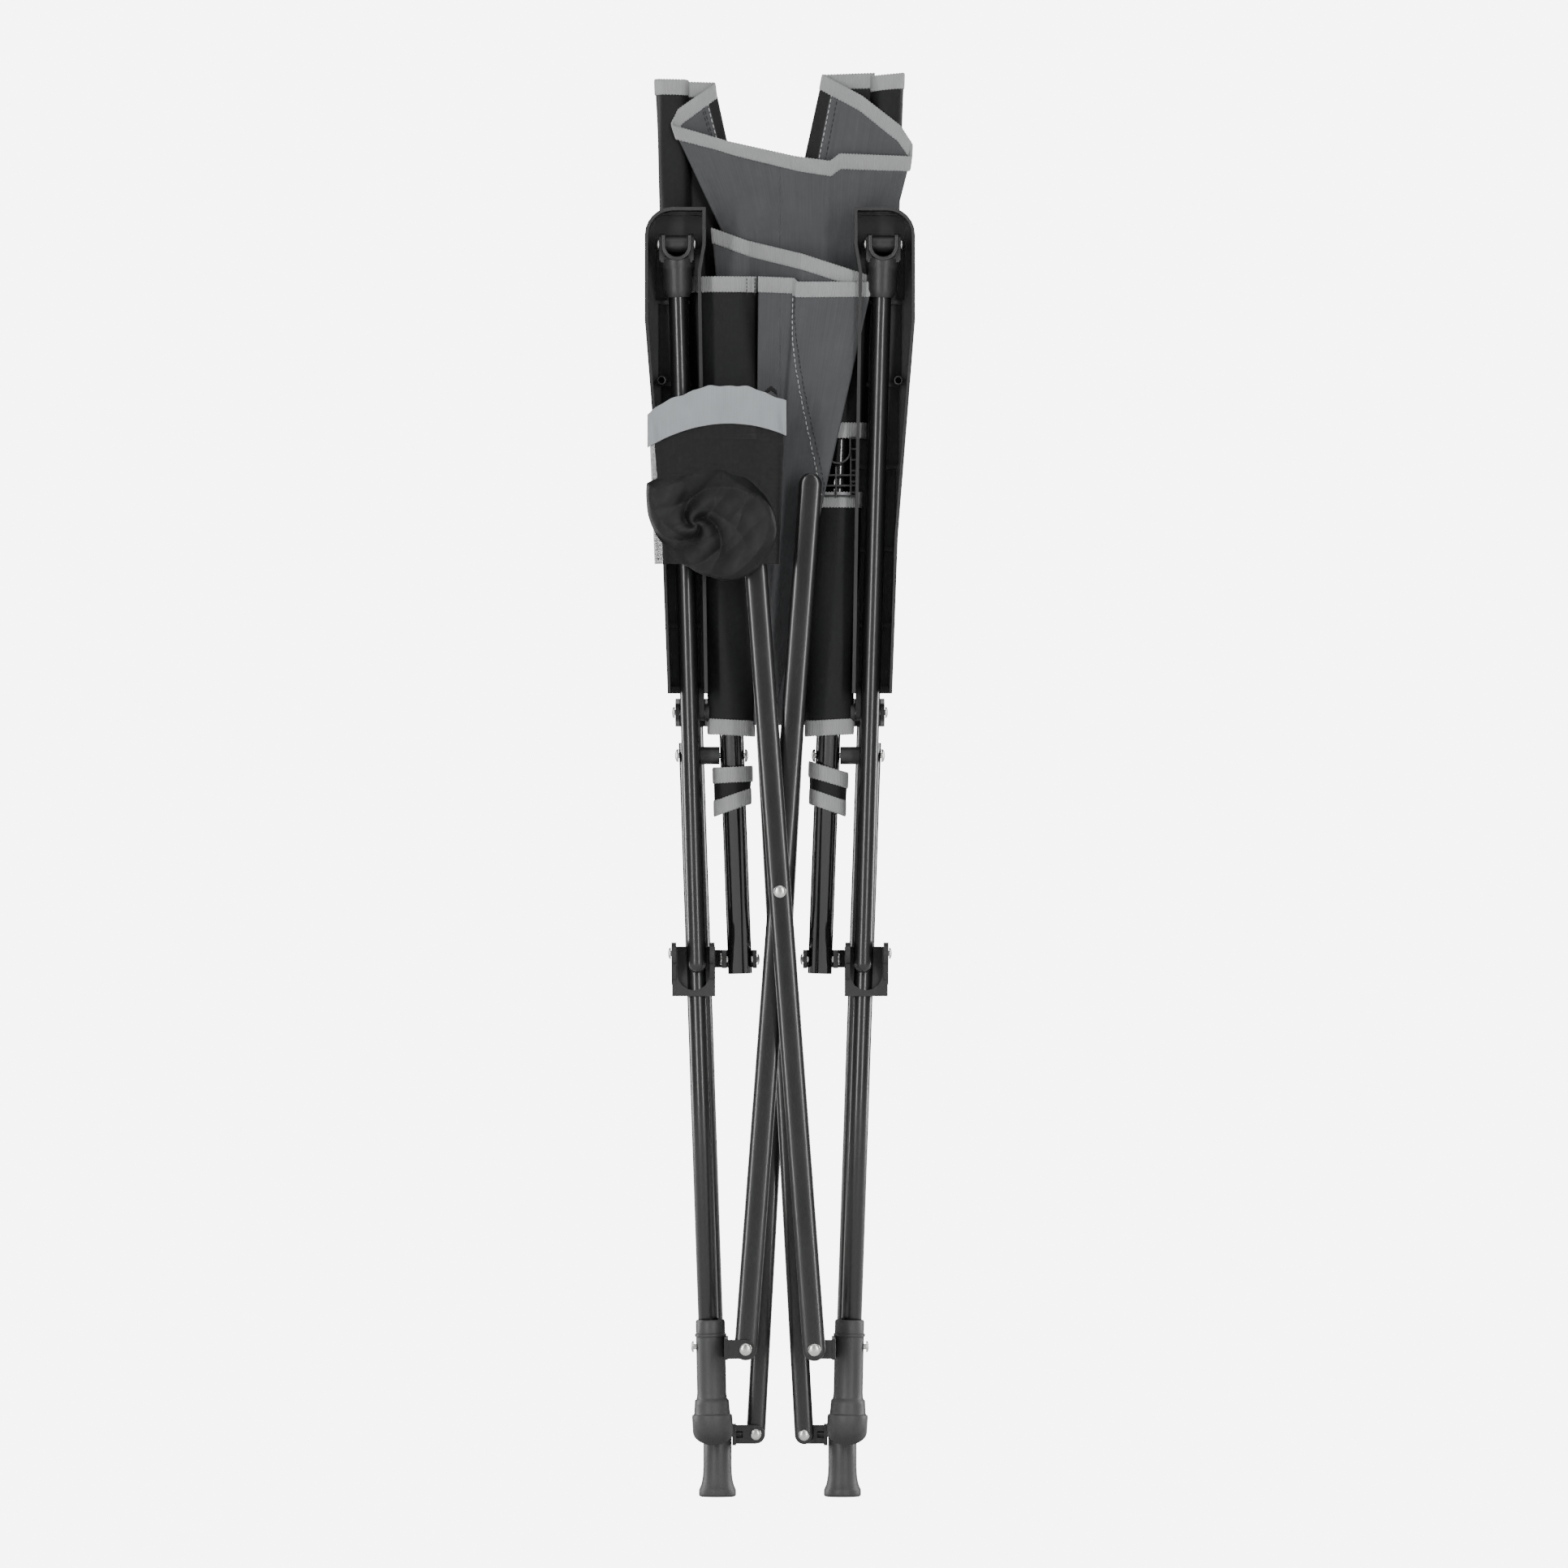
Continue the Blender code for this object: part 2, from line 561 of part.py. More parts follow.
def arm_hinge(word, side):
    """A block clamped round the front of the post, with an ear on each side of the armrest's neck."""
    carried = f"{word}_post"
    x = post_x(ARM_PIVOT_Z)
    middle = side * x
    low = (middle - HINGE_OUTER, 0.0105, HINGE_LOW)
    high = (middle + HINGE_OUTER, POST_Y - 0.0006, HINGE_HIGH)
    hinge = place(f"{word}_arm_hinge", box(low, high), "moulded_plastic", carried)
    ear = [(0.0120, HINGE_LOW), (0.0120, HINGE_HIGH), (0.0, 0.6285)]
    ear += arc((0, ARM_PIVOT_Z), 0.0075, 90, 270, 8)
    for near, far in ((-HINGE_OUTER, -HINGE_INNER), (HINGE_INNER, HINGE_OUTER)):
        add(hinge, prism(ear, "X", middle + near, middle + far))
    cut(hinge, rod(on_post(side, 0.60), on_post(side, 0.65), TUBE_RADIUS + GAP))
    cut(hinge, cross_hole(side, x, 0, ARM_PIVOT_Z))
    ends = span(side, x + HINGE_OUTER + GAP, x - HINGE_OUTER - GAP, 0, ARM_PIVOT_Z)
    place(f"{word}_arm_hinge_bolt", domed(*ends, 0.0045, 0.0022), "zinc_steel", carried)


# ---------------------------------------------------------------- scissor bars, brackets, hubs and rivets
BAR_EDGE = 0.0016
BRACKET_HALF = 0.0075
BRACKET_THICKNESS = 0.003
BRACKET_FOLD = 0.0008
HUB_HEIGHT = 0.028


def stadium(low, high, width, count=8):
    """A long flat outline with round ends, centred on the line from low to high."""
    low, high = Vector(low), Vector(high)
    lean = math.degrees(math.atan2(high.y - low.y, high.x - low.x))
    radius = width / 2
    return arc(high, radius, lean - 90, lean + 90, count) + arc(low, radius, lean + 90, lean + 270, count)


def scissor_bar(name, low, high, width, layer, holes, carried):
    bar = place(name, prism(stadium(low, high, width), "Y", *layer), "tube_paint", carried)
    bevel(bar, BAR_EDGE)
    for x, z in holes:
        cut(bar, rod((x, layer[0] - 0.005, z), (x, layer[1] + 0.005, z), HOLE_RADIUS, 12))


def l_bracket(name, side, pivot, foot_x, plate_y, flange_y, carried):
    """A plate that holds the bar, bent to a flange that lies against the foot's sleeve."""
    pivot_x, z = pivot
    plate_x = foot_x - BRACKET_THICKNESS / 2
    outline = arc(pivot, BRACKET_HALF, 90, 270, 8)
    outline += [(plate_x, z - BRACKET_HALF), (plate_x, z + BRACKET_HALF)]
    bracket = place(name, prism(mirrored(side, outline), "Y", *plate_y), "zinc_steel", carried)
    near, far = sorted((side * foot_x, side * (foot_x - BRACKET_THICKNESS)))
    tall = BRACKET_HALF + BRACKET_FOLD
    add(bracket, box((near, flange_y[0], z - tall), (far, flange_y[1], z + tall)))
    x = side * pivot_x
    cut(bracket, rod((x, plate_y[0] - 0.004, z), (x, plate_y[1] + 0.004, z), HOLE_RADIUS, 12))
    middle = sum(flange_y) / 2 if flange_y[0] > 0 else 0
    cut(bracket, rod(*span(side, foot_x - 0.008, foot_x + 0.005, middle, z), HOLE_RADIUS, 12))


def front_scissor(word, side):
    z = FRONT_BRACKET_Z
    layer = FRONT_BAR_Y[side]
    foot_x = leg_x(z) - FRONT_SLEEVE_RADIUS - GAP
    flange = (FRONT_PLATE_Y[0] - 0.0006, 0.0075)
    pivot = (FRONT_LOW_X, z)
    name = f"{word}_front_x_bracket"
    l_bracket(name, side, pivot, foot_x, FRONT_PLATE_Y, flange, f"{word}_front_bracket")
    low, high = (side * FRONT_LOW_X, z), (-side * FRONT_HIGH_X, FRONT_BAR_TOP_Z)
    crossing = Vector(low).lerp(Vector(high), FRONT_LOW_X / (FRONT_LOW_X + FRONT_HIGH_X))
    in_front = layer[0] < FRONT_PLATE_Y[0]
    holes = [low, tuple(crossing)] if in_front else [low]
    scissor_bar(f"{word}_front_x_bar", low, high, BAR_WIDTH, layer, holes, f"{word}_front_bar")
    ends = (min(layer[0], FRONT_PLATE_Y[0]) - GAP, max(layer[1], FRONT_PLATE_Y[1]) + GAP)
    rivet = domed((low[0], ends[0], z), (low[0], ends[1], z), 0.0050, 0.0026)
    place(f"{word}_front_x_rivet", rivet, "zinc_steel", f"{word}_front_bracket")
    if in_front:
        ends = (crossing.x, layer[0] - GAP, crossing.y), (crossing.x, layer[1] - GAP, crossing.y)
        place("front_crossing_rivet", headed(*ends, 0.0050, 0.0026), "zinc_steel", f"{word}_front_bar")


def rear_scissor(word, side):
    z = REAR_BRACKET_Z
    layer = REAR_BAR_Y[side]
    foot_x = post_x(z) - SLEEVE_RADIUS - 0.0012
    flange = (POST_Y - BRACKET_HALF, POST_Y + BRACKET_HALF)
    pivot = (REAR_LOW_X, z)
    l_bracket(f"{word}_rear_x_bracket", side, pivot, foot_x, REAR_PLATE_Y, flange, f"{word}_post")
    low, high = (side * REAR_LOW_X, z), (-side * REAR_LOW_X, HUB_Z)
    crossing = (0, (z + HUB_Z) / 2)
    behind = layer[0] > REAR_PLATE_Y[0]
    holes = [low, crossing] if behind else [low]
    scissor_bar(f"{word}_rear_x_bar", low, high, REAR_BAR_WIDTH, layer, holes, f"{word}_rear_bar")
    ends = (min(layer[0], REAR_PLATE_Y[0]) - GAP, max(layer[1], REAR_PLATE_Y[1]) + GAP)
    rivet = domed((low[0], ends[0], z), (low[0], ends[1], z), 0.0045, 0.0022)
    place(f"{word}_rear_x_rivet", rivet, "zinc_steel", f"{word}_post")
    if behind:
        ends = (0, layer[1] + GAP, crossing[1]), (0, layer[0] + GAP, crossing[1])
        place("rear_crossing_rivet", headed(*ends), "zinc_steel", f"{word}_rear_bar")


def rear_hub(word, side):
    """A half ring that slides on the back of the post, with an arm reaching in to the scissor's top."""
    low, high = HUB_Z - HUB_HEIGHT / 2, HUB_Z + HUB_HEIGHT / 2
    ring = sleeve(on_post(side, low), on_post(side, high), TUBE_RADIUS + GAP, 0.0115)
    hub = place(f"{word}_rear_hub", ring, "moulded_plastic", f"{word}_hub")
    x = side * post_x(HUB_Z)
    cut(hub, box((x - 0.02, 0, low - 0.005), (x + 0.02, REAR_PLATE_Y[0], high + 0.005)))
    root_x = post_x(HUB_Z) - 0.0095
    outline = arc((REAR_LOW_X, HUB_Z), BRACKET_HALF, 90, 270, 8)
    outline += [(root_x, HUB_Z - 0.012), (root_x, HUB_Z + 0.012)]
    add(hub, prism(mirrored(side, outline), "Y", *REAR_PLATE_Y))


# ---------------------------------------------------------------- fabric and cup holder, as plain solids
BACK_BOTTOM = 0.790
BACK_TOP = 1.130
BACK_HALF_DEPTH = 0.007
BACK_SLEEVE_RADIUS = 0.0115
SEAT_BOTTOM, SEAT_TOP = 0.548, 0.966
SEAT_FRONT_BOTTOM = 0.848


def fabrics():
    half, low_half = post_x(BACK_TOP), post_x(BACK_BOTTOM)
    top = BACK_TOP - 0.001
    outline = [(-low_half, BACK_BOTTOM), (low_half, BACK_BOTTOM), (half, top), (-half, top)]
    sheet = prism(outline, "Y", POST_Y - BACK_HALF_DEPTH, POST_Y + BACK_HALF_DEPTH)
    back = place("back_fabric", sheet, "black_fabric", "back_panel")
    for side in SIDES.values():
        add(back, rod(on_post(side, BACK_BOTTOM - 0.0005), on_post(side, BACK_TOP), BACK_SLEEVE_RADIUS))
        room = on_post(side, BACK_BOTTOM - 0.02), on_post(side, POST_TOP + 0.003)
        cut(back, rod(*room, TUBE_RADIUS + 2 * GAP))

    outline = [(-0.0215, SEAT_BOTTOM), (0.0215, SEAT_BOTTOM), (0.0385, SEAT_TOP), (-0.0385, SEAT_TOP)]
    seat = place("seat_fabric", prism(outline, "Y", -0.0085, 0.0080), "grey_fabric", "seat_panel")
    add(seat, box((-0.0550, -0.0400, SEAT_FRONT_BOTTOM), (0.0550, -0.0105, SEAT_TOP)))
    add(seat, box((-0.0335, -0.0200, SEAT_FRONT_BOTTOM), (0.0335, -0.0050, SEAT_TOP)))

    bag = box((-0.103, -0.074, 0.722), (0.004, -0.060, 0.846))
    place("cup_holder_bag", bag, "black_fabric", "cup_holder")
    band = box((-0.104, -0.076, 0.8465), (0.005, -0.058, 0.872))
    place("cup_holder_band", band, "band_fabric", "cup_holder")


for word, side in SIDES.items():
    back_post(word, side)
    front_leg(word, side)
    seat_rail(word, side)
    rail_clip(word, side)
    rail_clevis(word, side)
    arm_support(word, side)
    leg_slider(word, side)
    armrest(word, side)
    arm_hinge(word, side)
    front_scissor(word, side)
    rear_scissor(word, side)
    rear_hub(word, side)
fabrics()
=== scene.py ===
import json

import bmesh
import bpy
import numpy as np
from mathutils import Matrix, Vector


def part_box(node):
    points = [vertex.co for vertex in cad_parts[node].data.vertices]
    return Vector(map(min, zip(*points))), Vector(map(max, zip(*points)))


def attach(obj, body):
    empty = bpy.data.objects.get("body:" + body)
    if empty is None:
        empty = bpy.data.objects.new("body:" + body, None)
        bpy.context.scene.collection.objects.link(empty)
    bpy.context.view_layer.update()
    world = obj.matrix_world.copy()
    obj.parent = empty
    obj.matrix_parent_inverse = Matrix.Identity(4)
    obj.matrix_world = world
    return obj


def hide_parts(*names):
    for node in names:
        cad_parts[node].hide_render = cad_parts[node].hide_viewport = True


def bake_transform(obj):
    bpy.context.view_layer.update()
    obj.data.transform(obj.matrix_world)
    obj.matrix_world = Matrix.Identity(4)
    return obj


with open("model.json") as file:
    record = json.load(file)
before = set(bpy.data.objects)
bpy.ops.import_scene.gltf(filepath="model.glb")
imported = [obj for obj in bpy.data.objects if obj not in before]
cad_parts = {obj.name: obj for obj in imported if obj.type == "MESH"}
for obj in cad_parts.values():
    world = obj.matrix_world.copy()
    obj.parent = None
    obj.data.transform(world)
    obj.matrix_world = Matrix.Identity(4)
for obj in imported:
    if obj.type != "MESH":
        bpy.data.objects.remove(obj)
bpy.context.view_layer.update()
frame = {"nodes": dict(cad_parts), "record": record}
bodies = frame["record"]["behaviour"]["bodies"]
SIDES = {"left": -1, "right": 1}

# ---------------------------------------------------------------- back posts, front legs and arm supports
# Round steel tubes, 16 mm and 15 mm across, cut, deburred and powder coated in a glossy charcoal. The posts and
# legs are open at both ends, and the supports are closed by a domed foot that drops into the leg slider's fork.
TUBE_WALL = 0.0014
LIP = 0.0004
POST_RADIUS = 0.008
SUPPORT_RADIUS = 0.0075
POST_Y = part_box("left_back_post")[0][1] + POST_RADIUS
LEG_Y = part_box("left_front_leg")[0][1] + POST_RADIUS
SUPPORT_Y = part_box("left_arm_support")[0][1] + SUPPORT_RADIUS
PAINT_COLOUR = (0.0055, 0.0056, 0.0059, 1)


def centre_line(node, radius):
    """The line that a leaning tube follows: distance from the chair's middle and height, at its foot and its top."""
    low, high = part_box(node)
    near, far = sorted((abs(low[0]), abs(high[0])))
    return (near + radius, low[2]), (far - radius, high[2])


def surface(name, points, uv, closed=True):
    """A mesh through a grid of points. Rows that meet at a seam or a pole are joined, and the faces of a closed
    form are turned outwards by the sign of its volume."""
    rows, columns = points.shape[:2]
    index = np.arange(rows * columns).reshape(rows, columns)
    corners = [index[:-1, :-1], index[:-1, 1:], index[1:, 1:], index[1:, :-1]]
    quads = np.stack(corners, axis=-1).reshape(-1, 4)
    mesh = bpy.data.meshes.new(name)
    mesh.from_pydata(points.reshape(-1, 3).tolist(), [], quads.tolist())
    layer = mesh.uv_layers.new(name="UVMap")
    layer.data.foreach_set("uv", uv.reshape(-1, 2)[quads.ravel()].astype(np.float32).ravel())
    shell = bmesh.new()
    shell.from_mesh(mesh)
    bmesh.ops.remove_doubles(shell, verts=shell.verts, dist=1e-6)
    if closed and shell.calc_volume(signed=True) < 0:
        bmesh.ops.reverse_faces(shell, faces=shell.faces)
    shell.to_mesh(mesh)
    shell.free()
    mesh.shade_smooth()
    mesh.set_sharp_from_angle(angle=np.radians(50))
    piece = bpy.data.objects.new(name, mesh)
    bpy.context.scene.collection.objects.link(piece)
    return piece


def unit(vectors):
    return vectors / np.linalg.norm(vectors, axis=-1, keepdims=True)


def turned(name, start, end, profile, sides=64):
    """A profile of (radius, distance) turned about a line: start + distance x along + radius x (cos a x across +
    sin a x up), for a from 0 to a whole turn."""
    start, end = np.array(start, float), np.array(end, float)
    along = unit(end - start)
    across = unit(np.cross(along, [0.3, 1.0, 0.2]))
    up = np.cross(along, across)
    radius, distance = np.array(profile, float).T
    angle = np.linspace(0, 2 * np.pi, sides + 1)
    spokes = np.cos(angle)[:, None] * across + np.sin(angle)[:, None] * up
    points = start + distance[:, None, None] * along + radius[:, None, None] * spokes
    run = np.concatenate([[0], np.cumsum(np.hypot(np.diff(radius), np.diff(distance)))])
    uv = np.stack(np.broadcast_arrays(angle[None] * radius.max(), run[:, None]), axis=-1)
    return surface(name, points, uv)


def tube_profile(radius, length):
    """The wall of an open tube, from the inside at its foot round both lips and back, with eased edges."""
    inner = radius - TUBE_WALL
    outside = [(radius - LIP, 0), (radius, LIP), (radius, length - LIP), (radius - LIP, length)]
    return [*outside, (inner, length), (inner, 0), (radius - LIP, 0)]


def grain_group():
    """Fine orange-peel relief and a slow unevenness, for paint and plastic, from coordinates in metres."""
    group = bpy.data.node_groups.new("surface_grain", "ShaderNodeTree")
    for name, kind in (("Coordinates", "Vector"), ("Fineness", "Float"), ("Patch size", "Float")):
        group.interface.new_socket(name=name, in_out="INPUT", socket_type="NodeSocket" + kind)
    for name in ("Relief", "Tone"):
        group.interface.new_socket(name=name, in_out="OUTPUT", socket_type="NodeSocketFloat")
    start, end = group.nodes.new("NodeGroupInput"), group.nodes.new("NodeGroupOutput")
    for output, scale, detail in (("Relief", "Fineness", 2.0), ("Tone", "Patch size", 5.0)):
        noise = group.nodes.new("ShaderNodeTexNoise")
        noise.inputs["Detail"].default_value = detail
        group.links.new(start.outputs["Coordinates"], noise.inputs["Vector"])
        group.links.new(start.outputs[scale], noise.inputs["Scale"])
        group.links.new(noise.outputs["Fac"], end.inputs[output])
    return group


surface_grain = grain_group()


def hard_finish(name, colour, roughness, metallic=0.0, fineness=900.0, relief=0.00002, patches=18.0, spread=0.12):
    """Paint, plastic or plating: a plain shader whose colour and roughness drift a little over the piece, with a
    fine relief. spread is how far the roughness drifts."""
    made = bpy.data.materials.new(name)
    made.use_nodes = True
    tree = made.node_tree
    shader = tree.nodes["Principled BSDF"]
    shader.inputs["Metallic"].default_value = metallic
    place = tree.nodes.new("ShaderNodeTexCoord")
    grain = tree.nodes.new("ShaderNodeGroup")
    grain.node_tree = surface_grain
    grain.inputs["Fineness"].default_value = fineness
    grain.inputs["Patch size"].default_value = patches
    tree.links.new(place.outputs["Object"], grain.inputs["Coordinates"])
    bump = tree.nodes.new("ShaderNodeBump")
    bump.inputs["Distance"].default_value = relief
    tree.links.new(grain.outputs["Relief"], bump.inputs["Height"])
    tree.links.new(bump.outputs["Normal"], shader.inputs["Normal"])
    drift = tree.nodes.new("ShaderNodeMapRange")
    drift.inputs["From Min"].default_value = 0.3
    drift.inputs["From Max"].default_value = 0.7
    drift.inputs["To Min"].default_value = roughness - spread / 2
    drift.inputs["To Max"].default_value = roughness + spread / 2
    tree.links.new(grain.outputs["Tone"], drift.inputs["Value"])
    tree.links.new(drift.outputs["Result"], shader.inputs["Roughness"])
    tint = tree.nodes.new("ShaderNodeMix")
    tint.data_type = "RGBA"
    tint.inputs["A"].default_value = tuple(0.82 * c for c in colour[:3]) + (1,)
    tint.inputs["B"].default_value = tuple(1.18 * c for c in colour[:3]) + (1,)
    tree.links.new(grain.outputs["Tone"], tint.inputs["Factor"])
    tree.links.new(tint.outputs["Result"], shader.inputs["Base Color"])
    return made


def stands_for(piece, node, material):
    """Gives a piece its finish, and sets it in place of the frame's node, on the same body."""
    piece.data.materials.clear()
    piece.data.materials.append(material)
    body = next(name for name, nodes in bodies.items() if node in nodes)
    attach(piece, body)
    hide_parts(node)


tube_paint = hard_finish("charcoal_powder_coat", PAINT_COLOUR, 0.34, fineness=1400.0, relief=4e-6, spread=0.06)
tube_paint.node_tree.nodes["Principled BSDF"].inputs["Coat Weight"].default_value = 0.35
tube_paint.node_tree.nodes["Principled BSDF"].inputs["Coat Roughness"].default_value = 0.12

for word, side in SIDES.items():
    for node, radius, depth in (("back_post", POST_RADIUS, POST_Y), ("front_leg", POST_RADIUS, LEG_Y)):
        (low_x, low_z), (high_x, high_z) = centre_line(f"{word}_{node}", radius)
        start, end = (side * low_x, depth, low_z), (side * high_x, depth, high_z)
        length = float(np.hypot(high_x - low_x, high_z - low_z))
        tube = turned(f"{word}_{node}_tube", start, end, tube_profile(radius, length))
        stands_for(tube, f"{word}_{node}", tube_paint)

    (low_x, low_z), (high_x, high_z) = centre_line(f"{word}_arm_support", SUPPORT_RADIUS)
    start, end = (side * low_x, SUPPORT_Y, low_z), (side * high_x, SUPPORT_Y, high_z)
    length = float(np.hypot(high_x - low_x, high_z - low_z))
    turn = np.linspace(-np.pi / 2, 0, 9)
    dome = [(SUPPORT_RADIUS * np.cos(a), SUPPORT_RADIUS * (1 + np.sin(a))) for a in turn]
    profile = [*dome, (SUPPORT_RADIUS, length), (SUPPORT_RADIUS - TUBE_WALL, length)]
    profile += [(SUPPORT_RADIUS - TUBE_WALL, 0.010), (0, 0.010)]
    support = turned(f"{word}_arm_support_tube", start, end, profile)
    stands_for(support, f"{word}_arm_support", tube_paint)

# ---------------------------------------------------------------- seat rails
# Steel tubes 19 mm across under the edges of the seat, in a blacker and glossier paint than the frame's. The
# seat's sleeves slide over them, so only the bare ends and the stretch at each clip show.
RAIL_RADIUS = 0.0095
RAIL_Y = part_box("left_seat_rail")[0][1] + RAIL_RADIUS

rail_paint = hard_finish("black_gloss_paint", (0.006, 0.006, 0.0065, 1), 0.18, relief=0.000003, spread=0.05)
rail_paint.node_tree.nodes["Principled BSDF"].inputs["Coat Weight"].default_value = 0.8
rail_paint.node_tree.nodes["Principled BSDF"].inputs["Coat Roughness"].default_value = 0.06
rail_line = {}
for word, side in SIDES.items():
    (low_x, low_z), (high_x, high_z) = centre_line(f"{word}_seat_rail", RAIL_RADIUS)
    rail_line[word] = (low_x, low_z), (high_x, high_z)
    start, end = (side * low_x, RAIL_Y, low_z), (side * high_x, RAIL_Y, high_z)
    length = float(np.hypot(high_x - low_x, high_z - low_z))
    rail = turned(f"{word}_seat_rail_tube", start, end, tube_profile(RAIL_RADIUS, length))
    stands_for(rail, f"{word}_seat_rail", rail_paint)

# ---------------------------------------------------------------- feet
# Satin grey plastic, moulded in one piece: a sleeve pushed over the tube, a stepped collar, and a bell or a flared
# sole. The front feet's bells are cut off square to the floor that they meet when the chair is open.
FOOT_COLOUR = (0.040, 0.040, 0.041, 1)
FOOT_SIDES = 72
foot_plastic = hard_finish("grey_foot_plastic", FOOT_COLOUR, 0.50, fineness=2600.0, relief=0.00002)

FRONT_FOOT_START = 0.030
LEG_LEAN = 0.0339
BELL_TILT = np.radians(31.8)


def on_leg(side, z):
    (low_x, low_z), (high_x, high_z) = centre_line("left_front_leg", POST_RADIUS)
    return np.array([side * np.interp(z, [0, high_z], [low_x - low_z * LEG_LEAN, high_x]), LEG_Y, z])


def front_foot(name, side, tip_z):
    """The turned bell with its lower points slid up the leg's line onto the slanting sole: the height of a point
    is the larger of its own and the sole's, tip + tan(tilt) x its distance behind the leg's line."""
    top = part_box("left_front_foot")[1][2] - FRONT_FOOT_START
    profile = [(0, 0), (0.0150, 0), (0.0160, 0.0012), (0.0160, 0.0345), (0.0157, 0.0362), (0.0146, 0.0366)]
    profile += [(0.0142, 0.0376), (0.0138, 0.0440), (0.0135, 0.0478), (0.0124, 0.0486), (0.0119, 0.0500)]
    profile += [(0.0116, 0.0540), (0.0116, top - 0.0135), (0.0125, top - 0.0128), (0.0125, top - 0.0112)]
    profile += [(0.0116, top - 0.0106), (0.0116, top - 0.0012), (0.0108, top), (0.0086, top), (0.0086, 0.060)]
    profile += [(0, 0.060)]
    foot = turned(name, on_leg(side, FRONT_FOOT_START), on_leg(side, 1.0), profile, FOOT_SIDES)
    points = np.empty(len(foot.data.vertices) * 3)
    foot.data.vertices.foreach_get("co", points)
    points = points.reshape(-1, 3)
    sole = tip_z + np.tan(BELL_TILT) * (points[:, 1] - LEG_Y)
    in_bell = points[:, 2] < FRONT_FOOT_START + 0.0365
    points[:, 2] = np.where(in_bell, np.maximum(points[:, 2], sole), points[:, 2])
    foot.data.vertices.foreach_set("co", points.ravel())
    foot.data.update()
    return foot


for word, side in SIDES.items():
    foot = front_foot(f"{word}_front_bell_foot", side, 0.053)
    stands_for(foot, f"{word}_front_foot", foot_plastic)

    low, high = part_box(f"{word}_rear_foot")
    x, top = (low[0] + high[0]) / 2, high[2]
    profile = [(0, 0.0022), (0.0086, 0.0022), (0.0092, 0), (0.0138, 0), (0.0147, 0.0008), (0.0148, 0.0020)]
    profile += [(0.0147, 0.0052), (0.0141, 0.0066), (0.0130, 0.0092), (0.0120, 0.0136), (0.0115, 0.0180)]
    profile += [(0.0112, 0.0240), (0.0112, top - 0.0010), (0.0104, top), (0.0087, top), (0.0087, 0.0058)]
    profile += [(0, 0.0058)]
    foot = turned(f"{word}_rear_flared_foot", (x, POST_Y, 0), (x, POST_Y, 1), profile, FOOT_SIDES)
    stands_for(foot, f"{word}_rear_foot", foot_plastic)

# ---------------------------------------------------------------- scissor bars
# Steel tube pressed to a flat oval, its ends squeezed round, in the frame's paint. Each pair crosses on a rivet:
# the front pair braces the front legs, and the rear pair the back posts.
FRONT_BAR_TOP = (0.024, 0.800)
REAR_BAR_TOP = (0.0192, 0.751)


def flat_oval_bar(name, low, high, width, y_range):
    """An oval carried from one round end to the other. At a distance t past an end's centre the half width is
    sqrt(half^2 - t^2), and across it the outline is |x/half|^2.6 + |y/depth|^2.6 = 1."""
    low, high = np.array(low), np.array(high)
    half, depth = width / 2, (y_range[1] - y_range[0]) / 2
    length = np.linalg.norm(high - low)
    along = unit(high - low)
    across = np.array([along[1], -along[0]])
    cap = half * (1 - np.cos(np.linspace(0, np.pi / 2, 13)))
    distance = np.concatenate([cap - half, np.linspace(0, length, 41)[1:-1], length + half - cap[::-1]])
    past = np.maximum(0, np.maximum(-distance, distance - length))
    reach = np.sqrt(np.maximum(0, half**2 - past**2))
    thick = depth * (reach / half) ** 0.25
    angle = np.linspace(0, 2 * np.pi, 49)
    c, s = np.cos(angle), np.sin(angle)
    wide = np.sign(c) * np.abs(c) ** (2 / 2.6)
    deep = np.sign(s) * np.abs(s) ** (2 / 2.6)
    plan = low + distance[:, None, None] * along + (reach[:, None] * wide)[..., None] * across
    y = sum(y_range) / 2 + thick[:, None] * deep
    points = np.stack([plan[..., 0], y, plan[..., 1]], axis=-1)
    uv = np.stack(np.broadcast_arrays(distance[:, None], angle[None] * half), axis=-1)
    return surface(name, points, uv)


for kind, (top_x, top_z), half_gap in (("front", FRONT_BAR_TOP, 0.009), ("rear", REAR_BAR_TOP, 0.0075)):
    for word, side in SIDES.items():
        node = f"{word}_{kind}_x_bar"
        low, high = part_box(node)
        foot_z = low[2] + half_gap
        foot_x = side * max(side * low[0], side * high[0]) - side * half_gap
        ends = (foot_x, foot_z), (-side * top_x, top_z)
        bar = flat_oval_bar(f"{word}_{kind}_scissor_bar", *ends, 2 * half_gap, (low[1], high[1]))
        stands_for(bar, node, tube_paint)

# ---------------------------------------------------------------- rivets, screws and pivot bolts
# Zinc-plated steel. The scissor bars turn on domed rivets, and the feet, knuckles, hinges and seat pivots are held
# by pan-head screws with a cross recess and by shoulder bolts.
SHANK_RADIUS = 0.0022
zinc = hard_finish("zinc_plating", (0.62, 0.62, 0.60, 1), 0.30, metallic=1.0, fineness=500.0, patches=240.0)


def head_profile(radius, height, rings=9):
    """A low dome, (radius, distance from the seat): r = radius x sin a, h = height x cos a, on a short rim."""
    angle = np.linspace(0, np.pi / 2, rings)
    rise = 0.25 * height + 0.75 * height * np.cos(angle)
    return [(radius * np.sin(a), float(h)) for a, h in zip(angle, rise)] + [(radius, 0.0)]


